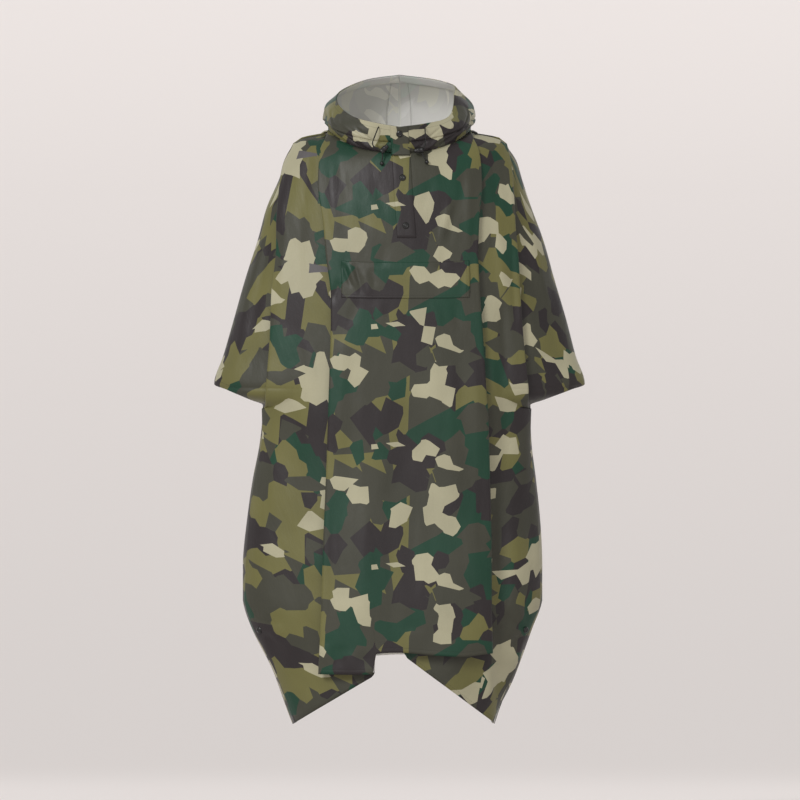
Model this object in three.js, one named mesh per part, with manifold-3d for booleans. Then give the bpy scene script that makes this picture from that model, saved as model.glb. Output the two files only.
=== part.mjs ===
// A hooded rain poncho in its hollow worn form. Millimetres, +Z up, the front faces -Y,
// and the origin is the middle of the neckline, where the wearer's shoulders hold it up.
import * as THREE from 'three';
import { mergeVertices } from 'three/addons/utils/BufferGeometryUtils.js';
import Module from 'manifold-3d';

const wasm = await Module();
wasm.setup();

// Driving dimensions
const WALL = 1.6; // coated cloth with its seams and turned hems
const SEAM = 0.3; // gap between two pieces at a seam
const NECK_GAP = 0.75; // the hood's seam lies this far above the panels, whose corners it follows
const NECK_STEP = 1.5; // drop over which the cloth's way up to the neckline is taken
const HEM_ROWS_START = 907; // above this drop each row keeps its level, below it the rows fan out to the hem
const HEM_ROWS = 3;
const SNAP = { radius: 6.4, face: 3.6, thick: 2.2, lift: 0.45 }; // a domed press snap's cap
const CORD_RADIUS = 1.2;
const CORD_PLAY = 0.4; // round the cord in its lock
const LOCK = { barrel: 5, length: 11, button: 3.7, press: 4.5 };
const BEAD_RADIUS = 4;
const SIDES = { snap: 12, cord: 8, bore: 10, lock: 16, bead: 10 }; // corners round each
const CORD_STEPS = 18;
const BORE_STEPS = 24;
const BEAD_ARCS = 6;
const PLACKET = { half: 18, lean: 0.066, end: 0.3 }; // lean is how far it shifts across for each mm down
const FLAP = { left: -108, right: 130, top: 212, bottom: 292, rows: 4, columns: 12, lift: 0.8 };

// The body's rings. drop is how far the side edge lies below the neck, front and back are the heights at
// the centre lines, depth and power shape the plan curve, left and right are the half widths at the edge,
// and open is how far the front's and back's edges part, as they do at the cuff.
const RINGS = [
  { drop: 0, front: -40, back: 12, depth: 96, power: 2, left: 137, right: 137, open: 0 },
  { drop: 1.5, front: -42.5, back: 10, depth: 98, power: 2, left: 147, right: 147, open: 0 },
  { drop: 4, front: -46, back: 6, depth: 100, power: 2, left: 165, right: 165, open: 0 },
  { drop: 10, front: -56, back: -4, depth: 104, power: 2, left: 194, right: 198, open: 0 },
  { drop: 29, front: -82, back: -28, depth: 110, power: 2, left: 212, right: 213.5, open: 0 },
  { drop: 49, front: -104, back: -52, depth: 112, power: 2, left: 221, right: 227, open: 0 },
  { drop: 88, front: -140, back: -92, depth: 114, power: 2, left: 235, right: 239, open: 0 },
  { drop: 140, front: -186, back: -143, depth: 115, power: 1.95, left: 258, right: 256, open: 0 },
  { drop: 205, front: -243, back: -207, depth: 116, power: 1.9, left: 276, right: 280, open: 0 },
  { drop: 283, front: -312, back: -284, depth: 117, power: 1.85, left: 301, right: 302, open: 0 },
  { drop: 361, front: -380, back: -361, depth: 118, power: 1.8, left: 323, right: 325, open: 0 },
  { drop: 430, front: -440, back: -430, depth: 119, power: 1.8, left: 343, right: 343, open: 0 },
  { drop: 486, front: -490, back: -486, depth: 120, power: 1.8, left: 361, right: 361, open: 0 },
  { drop: 496, front: -499, back: -496, depth: 120, power: 1.82, left: 337, right: 334, open: 34 },
  { drop: 506, front: -508, back: -506, depth: 120, power: 1.92, left: 313, right: 307, open: 44 },
  { drop: 516, front: -517, back: -516, depth: 120, power: 2.15, left: 290, right: 281, open: 32 },
  { drop: 526, front: -526, back: -526, depth: 121, power: 2.6, left: 266, right: 255, open: 0 },
  { drop: 600, front: -600, back: -600, depth: 122, power: 2.45, left: 272, right: 257, open: 0 },
  { drop: 673, front: -673, back: -673, depth: 124, power: 2.3, left: 286, right: 266, open: 0 },
  { drop: 751, front: -751, back: -751, depth: 126, power: 2.2, left: 297, right: 274, open: 0 },
  { drop: 829, front: -829, back: -829, depth: 128, power: 2.15, left: 305, right: 278, open: 0 },
  { drop: 907, front: -907, back: -907, depth: 129, power: 2.1, left: 305, right: 278, open: 0 },
  { drop: 963, front: -963, back: -963, depth: 128, power: 2.1, left: 287, right: 258, open: 0 },
  { drop: 1043, front: -1043, back: -1043, depth: 126, power: 2.1, left: 247, right: 229, open: 0 },
  { drop: 1149, front: -1149, back: -1149, depth: 122, power: 2.1, left: 210, right: 188, open: 0 },
];

// The main fold, from the shoulder to the hem: how far from the centre its edge is, and how deep it is laid.
const MAIN_FOLD = [
  { drop: 0, left: 137, right: 137, leftDeep: 7, rightDeep: 7, backDeep: 7, radius: 1.2 },
  { drop: 10, left: 152, right: 152, leftDeep: 7, rightDeep: 7, backDeep: 7, radius: 1.3 },
  { drop: 64, left: 153, right: 155, leftDeep: 9, rightDeep: 9, backDeep: 8, radius: 2.2 },
  { drop: 133, left: 143, right: 149, leftDeep: 16, rightDeep: 16, backDeep: 10, radius: 3 },
  { drop: 205, left: 137, right: 147, leftDeep: 22, rightDeep: 24, backDeep: 14, radius: 3.6 },
  { drop: 283, left: 128, right: 150, leftDeep: 28, rightDeep: 32, backDeep: 18, radius: 4 },
  { drop: 361, left: 128, right: 155, leftDeep: 35, rightDeep: 42, backDeep: 20, radius: 4.2 },
  { drop: 478, left: 132, right: 162, leftDeep: 45, rightDeep: 58, backDeep: 24, radius: 4.6 },
  { drop: 603, left: 136, right: 167, leftDeep: 56, rightDeep: 78, backDeep: 28, radius: 5 },
  { drop: 801, left: 144, right: 172, leftDeep: 78, rightDeep: 112, backDeep: 32, radius: 5.6 },
  { drop: 1008, left: 149, right: 171, leftDeep: 103, rightDeep: 164, backDeep: 36, radius: 6 },
  { drop: 1149, left: 150, right: 168, leftDeep: 104, rightDeep: 162, backDeep: 36, radius: 6 },
];

// The fold where the body's cloth hangs over the sleeve. Below the cuff it shrinks to the side seam's ridge.
const SLEEVE_FOLD = [
  { drop: 0, left: 137, right: 137, deep: 3, radius: 1.2 },
  { drop: 10, left: 190, right: 193, deep: 3, radius: 1.2 },
  { drop: 29, left: 208, right: 208, deep: 4, radius: 1.4 },
  { drop: 62, left: 222, right: 215, deep: 7, radius: 1.8 },
  { drop: 137, left: 233, right: 219, deep: 14, radius: 2.4 },
  { drop: 224, left: 236, right: 227, deep: 20, radius: 3 },
  { drop: 302, left: 245, right: 231, deep: 26, radius: 3.4 },
  { drop: 400, left: 249, right: 238, deep: 32, radius: 3.6 },
  { drop: 490, left: 256, right: 247, deep: 34, radius: 3.6 },
  { drop: 526, left: 258, right: 247, deep: 22, radius: 3 },
  { drop: 600, left: 262, right: 247, deep: 8, radius: 2 },
  { drop: 673, left: 278, right: 258, deep: 4, radius: 1.4 },
  { drop: 751, left: 289, right: 266, deep: 3, radius: 1.2 },
  { drop: 907, left: 297, right: 270, deep: 3, radius: 1.2 },
  { drop: 963, left: 279, right: 250, deep: 3, radius: 1.2 },
  { drop: 1043, left: 239, right: 221, deep: 3, radius: 1.2 },
  { drop: 1149, left: 202, right: 180, deep: 3, radius: 1.2 },
];

// How far the hem of the centre panel hangs below the neck. across runs from the wearer's right, at -X.
const CENTRE_HEM = [
  { across: -160, front: 1046, back: 1010 },
  { across: -120, front: 1048, back: 1014 },
  { across: -70, front: 1049, back: 1016 },
  { across: -49, front: 1048, back: 1016 },
  { across: -43, front: 1009, back: 1016 },
  { across: 0, front: 1007, back: 1014 },
  { across: 60, front: 1012, back: 1016 },
  { across: 116, front: 1014, back: 1016 },
  { across: 180, front: 1004, back: 1010 },
];

// Soft vertical waves of the hanging cloth: where each lies across, how wide and how deep it is, and the
// drop from which it grows.
const WAVES = [
  { face: 'front', across: -72, wide: 34, deep: 4, from: 150 },
  { face: 'front', across: 30, wide: 42, deep: -3, from: 330 },
  { face: 'front', across: 98, wide: 30, deep: 4, from: 380 },
  { face: 'front', across: 196, wide: 16, deep: -7, from: 220 },
  { face: 'front', across: -196, wide: 26, deep: -4, from: 260 },
  { face: 'back', across: -60, wide: 40, deep: 5, from: 220 },
  { face: 'back', across: 52, wide: 34, deep: -4, from: 300 },
  { face: 'back', across: 205, wide: 26, deep: -5, from: 260 },
  { face: 'back', across: -190, wide: 22, deep: -5, from: 300 },
];
const WAVE_GROWTH = 420; // drop over which a wave reaches its full depth
const LOWEST = RINGS[RINGS.length - 1].drop;

// Half of the hood's meridians: angle runs from the front round to the back. rise is the way out and up
// from the neck's seam, and each other pair is the reach from the neck's axis and the height, up to the rim.
const HOOD = [
  {
    angle: 0, rise: [3, 7], low: [108.5, -19], out: [111, -9],
    belly: [114, 3], left: [118, 14], right: [118, 14],
  },
  {
    angle: 25, rise: [4, 8], low: [112, -16], out: [114, -7],
    belly: [116, 6], left: [117, 23], right: [117, 21],
  },
  {
    angle: 60, rise: [3, 10], low: [134, 3], out: [134, 12],
    belly: [131, 24], left: [112, 39], right: [112, 37],
  },
  {
    angle: 90, rise: [1, 10], low: [145, 27], out: [144, 37],
    belly: [140, 51], left: [121, 64], right: [107, 80],
  },
  {
    angle: 120, rise: [20, 13], low: [150, 26], out: [163, 36],
    belly: [156, 62], left: [131, 88], right: [122, 98],
  },
  {
    angle: 150, rise: [20, 11], low: [150, -22], out: [183, -26],
    belly: [178, 54], left: [124, 110], right: [124, 111],
  },
  {
    angle: 180, rise: [17, 11], low: [158, -54], out: [192, -58],
    belly: [188, 54], left: [112, 119], right: [112, 119],
  },
];
const HOOD_RINGS = 13;
const HOOD_STRIP_HALF = 7; // degrees on each side of the back that the hood's middle strip covers
const BRIM_RINGS = 2; // the last rings of the hood, which the turned brim lies under

const mix = (a, b, t) => a + (b - a) * t;
const clamp = (value, low, high) => Math.min(high, Math.max(low, value));
const smooth = (t) => { const c = clamp(t, 0, 1); return c * c * (3 - 2 * c); };
const range = (count) => Array.from({ length: count }, (_, i) => i);

// A value of a table's column, smooth between its rows.
function look(rows, key, at, column) {
  const last = rows.length - 1;
  const x = clamp(at, rows[0][key], rows[last][key]);
  let i = 0;
  while (i < last - 1 && x > rows[i + 1][key]) i += 1;
  const slope = (j) => {
    const [a, b] = [Math.max(0, j - 1), Math.min(last, j + 1)];
    return (rows[b][column] - rows[a][column]) / (rows[b][key] - rows[a][key]);
  };
  const width = rows[i + 1][key] - rows[i][key];
  const t = (x - rows[i][key]) / width;
  const chord = (rows[i + 1][column] - rows[i][column]) / width;
  const limit = 3 * Math.abs(chord);
  const tame = (s) => (s * chord <= 0 ? 0 : Math.sign(s) * Math.min(Math.abs(s), limit));
  const [s0, s1] = [tame(slope(i)) * width, tame(slope(i + 1)) * width];
  const [p0, p1] = [rows[i][column], rows[i + 1][column]];
  return p0 + t * (s0 + t * (3 * (p1 - p0) - 2 * s0 - s1 + t * (s0 + s1 - 2 * (p1 - p0))));
}

// The smooth body under the folds. share is 0 at the centre line and 1 at the side edge. face is front or
// back, and hand is left (-X) or right (+X).
function ringAt(face, hand, drop) {
  const value = (column) => look(RINGS, 'drop', drop, column);
  const [edge, depth, power, open] = [value(hand), value('depth'), value('power'), value('open')];
  const half = edge / (1 - (open / depth) ** power) ** (1 / power);
  return { half, edge, depth, power, middle: value(face), side: -drop };
}

function shareOf(ring, across) {
  const ratio = clamp(across / ring.half, 0, 1) ** (ring.power / 2);
  return Math.asin(ratio) / (Math.PI / 2);
}

function basePoint(face, hand, share, drop) {
  const ring = ringAt(face, hand, drop);
  const angle = (Math.PI / 2) * clamp(share, 0, 1);
  const across = ring.half * Math.sin(angle) ** (2 / ring.power);
  const away = ring.depth * Math.max(0, Math.cos(angle)) ** (2 / ring.power);
  const height = mix(ring.middle, ring.side, (across / ring.half) ** 3);
  const [sx, sy] = [hand === 'left' ? -1 : 1, face === 'front' ? -1 : 1];
  return new THREE.Vector3(sx * across, sy * away, height);
}

function wave(face, across, drop) {
  let sum = 0;
  for (const row of WAVES) {
    if (row.face !== face) continue;
    const growth = smooth((drop - row.from) / WAVE_GROWTH);
    sum += row.deep * growth * Math.exp(-(((across - row.across) / row.wide) ** 2));
  }
  return sum;
}

// A point of the cloth: a point of the smooth body, moved out by height.
function clothPoint(face, hand, share, drop, height) {
  const stepShare = 0.012;
  const stepDrop = 5;
  const s0 = clamp(share - stepShare, 0, 1 - 2 * stepShare);
  const d0 = clamp(drop - stepDrop, 0, LOWEST - 2 * stepDrop);
  const at = basePoint(face, hand, share, drop);
  const along = basePoint(face, hand, s0 + 2 * stepShare, drop).sub(basePoint(face, hand, s0, drop));
  const down = basePoint(face, hand, share, d0 + 2 * stepDrop).sub(basePoint(face, hand, share, d0));
  if (share <= stepShare) along.set(hand === 'left' ? -1 : 1, 0, 0);
  const normal = new THREE.Vector3().crossVectors(along, down).normalize();
  const outward = new THREE.Vector3(at.x, at.y, 30).dot(normal) < 0 ? -1 : 1;
  return at.addScaledVector(normal, outward * (height + wave(face, at.x, drop)));
}

// Where the folds lie at a drop, as shares of the ring, with their radii and layer heights. At the very
// top the centre panel takes in the whole ring, and just below it the folds start at the shoulder's ridge.
const FOLD_LIMITS = { top: 0.992, main: 0.94, sleeve: 0.975 };
function foldsAt(face, hand, drop) {
  const ring = ringAt(face, hand, drop);
  const main = (column) => look(MAIN_FOLD, 'drop', drop, column);
  const sleeve = (column) => look(SLEEVE_FOLD, 'drop', drop, column);
  const [r1, r2] = [main('radius'), sleeve('radius')];
  const perMm = (at) => {
    const [p, q] = [clamp(at - 0.01, 0, 0.98), clamp(at + 0.01, 0.02, 1)];
    return (q - p) / basePoint(face, hand, p, drop).distanceTo(basePoint(face, hand, q, drop));
  };
  const inward = (share, distance) => {
    const steps = 8;
    let at = share;
    for (let i = 0; i < steps; i += 1) at -= (distance / steps) * perMm(at);
    return at;
  };
  const sleeveShare = Math.min(shareOf(ring, sleeve(hand)), FOLD_LIMITS.sleeve);
  const mainLimit = drop < 1 ? FOLD_LIMITS.top : Math.min(FOLD_LIMITS.main, sleeveShare - 0.03);
  const deep = face === 'front' ? main(`${hand}Deep`) : main('backDeep');
  const mainTip = inward(Math.min(shareOf(ring, main(hand)), mainLimit), r1);
  const sleeveTip = inward(sleeveShare, r2);
  return {
    mainTip, mainRoot: inward(mainTip, Math.max(deep - 2 * r1, 3)),
    sleeveTip, sleeveRoot: inward(sleeveTip, Math.max(sleeve('deep') - 2 * r2, 1)),
    end: shareOf(ring, ring.edge), r1, r2, side: 4 * r2, centre: 4 * r2 + 4 * r1, perMm,
  };
}

// The path of the cloth across a ring, as pairs of share and layer height, from the centre line to the end
// of the centre panel inside the main fold, or from there to the side edge.
function span(list, from, to, height, pieces) {
  for (let i = 1; i <= pieces; i += 1) list.push([mix(from, to, i / pieces), height]);
}

const TURN_STEPS = 3;
function turn(list, share, top, radius, perMm, sign) {
  const squeeze = perMm(share);
  for (let i = 1; i <= TURN_STEPS; i += 1) {
    const angle = (Math.PI * i) / TURN_STEPS;
    const reach = sign * radius * Math.sin(angle) * squeeze;
    list.push([clamp(share + reach, 0, 1), top - radius + radius * Math.cos(angle)]);
  }
}

const LAID_PIECES = { front: 2, back: 1 };
const CENTRE_PIECES = { front: 3, back: 4 };
const SEAM_SHARE = 0.35; // how far along the laid layer its seam is, from the fold's root
function centrePath(face, hand, drop) {
  const f = foldsAt(face, hand, drop);
  const laid = LAID_PIECES[face];
  const seam = mix(f.mainRoot, f.mainTip, SEAM_SHARE) + 2 * SEAM * f.perMm(f.mainRoot);
  const path = [[0, f.centre]];
  span(path, 0, f.mainRoot, f.centre, CENTRE_PIECES[face]);
  span(path, f.mainRoot, f.mainTip, f.centre, laid);
  turn(path, f.mainTip, f.centre, f.r1, f.perMm, 1);
  span(path, f.mainTip, seam, f.centre - 2 * f.r1, laid);
  return path;
}

function sidePath(face, hand, drop) {
  const f = foldsAt(face, hand, drop);
  const laid = LAID_PIECES[face];
  const seam = mix(f.mainRoot, f.mainTip, SEAM_SHARE);
  const path = [[seam, f.centre - 2 * f.r1]];
  span(path, seam, f.mainRoot, f.centre - 2 * f.r1, 1);
  turn(path, f.mainRoot, f.centre - 2 * f.r1, f.r1, f.perMm, -1);
  span(path, f.mainRoot, f.mainTip, f.side, laid);
  span(path, f.mainTip, f.sleeveRoot, f.side, 2);
  span(path, f.sleeveRoot, f.sleeveTip, f.side, 1);
  turn(path, f.sleeveTip, f.side, f.r2, f.perMm, 1);
  span(path, f.sleeveTip, f.sleeveRoot, f.side - 2 * f.r2, 1);
  turn(path, f.sleeveRoot, f.side - 2 * f.r2, f.r2, f.perMm, -1);
  span(path, f.sleeveRoot, f.sleeveTip, 0, 1);
  span(path, f.sleeveTip, f.end, 0, 3);
  return path;
}

// How far down the hem lies. Outside the main fold the corner's hem runs straight from under the centre
// panel out to its tip.
const CORNER = {
  left: { inner: 46, innerDrop: 1051, tip: 210, tipDrop: 1149 },
  right: { inner: 6, innerDrop: 1012, tip: 188, tipDrop: 1149 },
};
function cornerHem(hand, across) {
  const c = CORNER[hand];
  return mix(c.innerDrop, c.tipDrop, (Math.abs(across) - c.inner) / (c.tip - c.inner));
}

// The drop at which each column of a path meets the hem. A column shifts across as it hangs, so its hem is
// found by stepping to it a few times.
const HEM_LEVEL = 1000;
function hemDrops(face, hand, pathAt, hemAt) {
  const count = pathAt(HEM_LEVEL).length;
  let drops = range(count).map(() => HEM_LEVEL);
  for (let i = 0; i < 5; i += 1) {
    const across = drops.map((drop, k) => basePoint(face, hand, pathAt(drop)[k][0], drop).x);
    drops = hemAt(across);
  }
  return drops;
}

// The laid layer's hem runs straight from the fold's edge to its root, and this is how far down it is at the
// layer's seam. On the front it stays above the hem of the panel that covers it.
const LAID_RISE = 3;
function laidSeamHem(face, hand, tip, root) {
  const straight = mix(cornerHem(hand, root), look(CENTRE_HEM, 'across', tip, face), SEAM_SHARE);
  if (face === 'back') return straight;
  const seam = mix(root, tip, SEAM_SHARE);
  return Math.min(straight, look(CENTRE_HEM, 'across', seam, face) - LAID_RISE);
}

// The hem of one half of the centre panel, from the centre line out to the fold's edge and back along the
// laid layer to its seam.
function centreHem(face, hand, acrosses) {
  const size = acrosses.map(Math.abs);
  const last = size.length - 1;
  const edge = size.indexOf(Math.max(...size));
  const [tip, seam] = [acrosses[edge], acrosses[last]];
  const edgeDrop = look(CENTRE_HEM, 'across', tip, face);
  const seamDrop = laidSeamHem(face, hand, tip, tip + (seam - tip) / (1 - SEAM_SHARE));
  return acrosses.map((across, k) => {
    if (k <= edge) return look(CENTRE_HEM, 'across', across, face);
    return mix(edgeDrop, seamDrop, (size[edge] - size[k]) / (size[edge] - size[last]));
  });
}

// The hem of a side panel, whose path starts at the laid layer's seam and goes on to the fold's root.
function sideHem(face, hand, acrosses) {
  const [seam, root] = acrosses;
  const seamDrop = laidSeamHem(face, hand, root + (seam - root) / SEAM_SHARE, root);
  return [seamDrop, ...acrosses.slice(1).map((across) => cornerHem(hand, across))];
}

// A panel as a grid of points, row by row from the neck to the hem.
function panelGrid(face, drops, pathOf, hems) {
  const rows = drops.map((drop) => pathOf(drop).map(([hand, share, height]) => (
    clothPoint(face, hand, share, drop, height))));
  const start = drops[drops.length - 1];
  for (let i = 1; i <= HEM_ROWS; i += 1) {
    rows.push(hems.map((hem, k) => {
      const drop = mix(start, hem, i / HEM_ROWS);
      const [hand, share, height] = pathOf(drop)[k];
      return clothPoint(face, hand, share, drop, height);
    }));
  }
  return rows;
}

// The outward normal at each point of a grid.
function gridNormals(grid, flip) {
  const [rows, columns] = [grid.length, grid[0].length];
  return grid.map((row, j) => row.map((_, k) => {
    const across = row[Math.min(k + 1, columns - 1)].clone().sub(row[Math.max(k - 1, 0)]);
    const down = grid[Math.min(j + 1, rows - 1)][k].clone().sub(grid[Math.max(j - 1, 0)][k]);
    return across.cross(down).normalize().multiplyScalar(flip);
  }));
}

// A closed wall round a grid: from below to above the grid's own surface, along its normals.
function wallGeometry(grid, normals, below, above, keep = (p) => p) {
  const [rows, columns] = [grid.length, grid[0].length];
  const positions = [];
  for (const height of [above, below]) {
    for (const j of range(rows)) {
      for (const k of range(columns)) {
        const p = keep(grid[j][k].clone().addScaledVector(normals[j][k], height));
        positions.push(p.x, p.y, p.z);
      }
    }
  }
  const top = (j, k) => j * columns + k;
  const low = (j, k) => rows * columns + top(j, k);
  const faces = [];
  const quad = (a, b, c, d) => faces.push(a, b, c, a, c, d);
  for (const j of range(rows - 1)) {
    for (const k of range(columns - 1)) {
      quad(top(j, k), top(j + 1, k), top(j + 1, k + 1), top(j, k + 1));
      quad(low(j, k), low(j, k + 1), low(j + 1, k + 1), low(j + 1, k));
    }
    quad(top(j, 0), low(j, 0), low(j + 1, 0), top(j + 1, 0));
    quad(top(j, columns - 1), top(j + 1, columns - 1), low(j + 1, columns - 1), low(j, columns - 1));
  }
  for (const k of range(columns - 1)) {
    quad(top(0, k), top(0, k + 1), low(0, k + 1), low(0, k));
    quad(top(rows - 1, k), low(rows - 1, k), low(rows - 1, k + 1), top(rows - 1, k + 1));
  }
  const geometry = new THREE.BufferGeometry();
  geometry.setAttribute('position', new THREE.Float32BufferAttribute(positions, 3));
  geometry.setIndex(faces);
  return facesOut(geometry);
}

// The place on a grid's surface that is nearest to a point, with the way out of the surface there.
function onGrid(grid, near, flip) {
  const best = { distance: Infinity };
  const triangle = new THREE.Triangle();
  const tryCorners = (...corners) => {
    const at = triangle.set(...corners).closestPointToPoint(near, new THREE.Vector3());
    if (at.distanceTo(near) >= best.distance) return;
    const normal = triangle.getNormal(new THREE.Vector3()).multiplyScalar(flip);
    Object.assign(best, { at, normal, distance: at.distanceTo(near) });
  };
  for (const j of range(grid.length - 1)) {
    for (const k of range(grid[0].length - 1)) {
      tryCorners(grid[j][k], grid[j + 1][k], grid[j + 1][k + 1]);
      tryCorners(grid[j][k], grid[j + 1][k + 1], grid[j][k + 1]);
    }
  }
  return best;
}

// Turns the faces round where the solid came out inside out.
function facesOut(geometry) {
  const position = geometry.attributes.position;
  const index = geometry.index;
  const corner = (i) => new THREE.Vector3().fromBufferAttribute(position, index.getX(i));
  let volume = 0;
  for (let i = 0; i < index.count; i += 3) volume += corner(i).dot(corner(i + 1).cross(corner(i + 2)));
  if (volume < 0) {
    for (let i = 0; i < index.count; i += 3) {
      const second = index.getX(i + 1);
      index.setX(i + 1, index.getX(i + 2));
      index.setX(i + 2, second);
    }
  }
  return geometry;
}

// Materials
const outerCloth = () => new THREE.MeshStandardMaterial({ color: '#55573a', roughness: 0.5, metalness: 0 });
const darkPlastic = () => new THREE.MeshStandardMaterial({ color: '#23231c', roughness: 0.4, metalness: 0 });
const darkCord = () => new THREE.MeshStandardMaterial({ color: '#1c1c1a', roughness: 0.9, metalness: 0 });

const poncho = new THREE.Group();
function add(name, geometry, material) {
  const mesh = new THREE.Mesh(geometry, material);
  mesh.name = name;
  poncho.add(mesh);
}

// Body panels
const LEVELS = RINGS.map((row) => row.drop).filter((drop) => drop <= HEM_ROWS_START);
const CUFF_ONLY = [496, 506, 516];
const CENTRE_LEVELS = LEVELS.filter((drop) => !CUFF_ONLY.includes(drop));
const SIDE_LEVELS = LEVELS.filter((drop) => drop > 0);
const HANDS = ['left', 'right'];

const sideGrids = {};

// The neckline's corners on each half of the front and back, from the centre line to the fold's edge, with
// the way out of the cloth and the way up along it at each.
const neckRows = {};
function neckRow(face, grid, normals) {
  const middle = (grid[0].length - 1) / 2;
  for (const hand of HANDS) {
    const step = hand === 'left' ? -1 : 1;
    const path = centrePath(face, hand, 0).slice(0, CENTRE_PIECES[face] + LAID_PIECES[face] + 1);
    neckRows[face + hand] = path.map(([share], i) => {
      const up = basePoint(face, hand, share, 0).sub(basePoint(face, hand, share, NECK_STEP)).normalize();
      const k = middle + step * i;
      return { at: grid[0][k].clone().addScaledVector(up, NECK_GAP), out: normals[0][k].clone() };
    });
  }
}

for (const face of ['front', 'back']) {
  const sign = face === 'front' ? -1 : 1;
  const ownSide = (p) => { p.y = sign * Math.max(sign * p.y, SEAM / 2); return p; };
  const wall = (grid, flip) => (
    wallGeometry(grid, gridNormals(grid, sign * flip), -WALL / 2, WALL / 2, ownSide));
  const halfHem = (hand) => hemDrops(
    face, hand, (drop) => centrePath(face, hand, drop), (across) => centreHem(face, hand, across));
  const half = (hand, drop) => centrePath(face, hand, drop).map((point) => [hand, ...point]);
  const centre = panelGrid(
    face, CENTRE_LEVELS, (drop) => [...half('left', drop).reverse(), ...half('right', drop).slice(1)],
    [...halfHem('left').reverse(), ...halfHem('right').slice(1)]);
  add(`${face}_centre`, wall(centre, -1), outerCloth());
  neckRow(face, centre, gridNormals(centre, sign));
  for (const hand of HANDS) {
    const path = (drop) => sidePath(face, hand, drop);
    const hems = hemDrops(face, hand, path, (acrosses) => sideHem(face, hand, acrosses));
    const side = panelGrid(face, SIDE_LEVELS, (drop) => path(drop).map((point) => [hand, ...point]), hems);
    add(`${face}_${hand}`, wall(side, hand === 'left' ? 1 : -1), outerCloth());
    sideGrids[face + hand] = side;
  }
}

// Hood
const polarOf = (point) => THREE.MathUtils.radToDeg(Math.atan2(Math.abs(point.x), -point.y));

// The corners of the neckline on one hand, from the front round the shoulder's ridge to the back.
function neckCorners(hand) {
  const ridge = clothPoint('front', hand, 1, 0, foldsAt('front', hand, 0).centre).setY(0);
  const out = new THREE.Vector3(hand === 'left' ? -0.6 : 0.6, 0, 0.8);
  return [...neckRows[`front${hand}`], { at: ridge.addScaledVector(out, NECK_GAP), out },
    ...[...neckRows[`back${hand}`]].reverse()];
}
const neck = { left: neckCorners('left'), right: neckCorners('right') };
function neckAt(hand, angle) {
  const corners = neck[hand];
  const next = clamp(corners.findIndex(({ at }) => polarOf(at) > angle), 1, corners.length - 1);
  const i = angle >= 180 ? corners.length - 1 : next;
  const [a, b] = [corners[i - 1], corners[i]];
  const share = clamp((angle - polarOf(a.at)) / (polarOf(b.at) - polarOf(a.at)), 0, 1);
  return { at: a.at.clone().lerp(b.at, share), out: a.out.clone().lerp(b.out, share).normalize() };
}

function hoodPoint(hand, angle, share) {
  const polar = THREE.MathUtils.degToRad(angle);
  const way = [Math.sin(polar) * (hand === 'left' ? -1 : 1), -Math.cos(polar)];
  const seam = neckAt(hand, angle).at;
  const pair = (column) => [0, 1].map((i) => (
    look(HOOD.map((row) => ({ angle: row.angle, value: row[column][i] })), 'angle', angle, 'value')));
  const place = ([reach, height]) => new THREE.Vector3(way[0] * reach, way[1] * reach, height);
  const rise = place(pair('rise')).add(seam);
  const knots = [rise, ...['low', 'out', 'belly', hand].map((column) => place(pair(column)))];
  return new THREE.CatmullRomCurve3([seam, ...knots], false, 'centripetal').getPoint(share);
}

const stripEdge = 180 - HOOD_STRIP_HALF;
const neckAngles = (hand) => neck[hand].map(({ at }) => polarOf(at)).slice(1, -1);
const HOOD_FRONT = 0.15; // degrees between the hood's front edges and the centre line
const STRIP_SEAM = 0.15; // degrees between the strip and the hood's sides
const hoodColumns = {
  hood_left: [HOOD_FRONT, ...neckAngles('left'), stripEdge].map((angle) => ['left', angle]),
  hood_strip: [['left', stripEdge + STRIP_SEAM], ['left', 180], ['right', stripEdge + STRIP_SEAM]],
  hood_right: [stripEdge, ...neckAngles('right').reverse(), HOOD_FRONT].map((angle) => ['right', angle]),
};
function hoodGrid(columns, shares) {
  return shares.map((share) => columns.map(([hand, angle]) => hoodPoint(hand, angle, share)));
}
const hoodShares = range(HOOD_RINGS).map((i) => i / (HOOD_RINGS - 1));
const hoodGrids = {};
for (const [name, columns] of Object.entries(hoodColumns)) {
  const grid = hoodGrid(columns, hoodShares);
  const normals = gridNormals(grid, -1);
  columns.forEach(([hand, angle], k) => { normals[0][k] = neckAt(hand, angle).out; });
  add(name, wallGeometry(grid, normals, -WALL / 2, WALL / 2), outerCloth());
  hoodGrids[name] = grid;
}
const brimColumns = Object.values(hoodColumns).flat();
const brimGrid = hoodGrid(brimColumns, hoodShares.slice(-1 - BRIM_RINGS));
const brimDepth = WALL / 2 + SEAM;
const brimWall = wallGeometry(brimGrid, gridNormals(brimGrid, -1), -brimDepth - WALL, -brimDepth);
add('hood_brim', brimWall, outerCloth());

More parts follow.
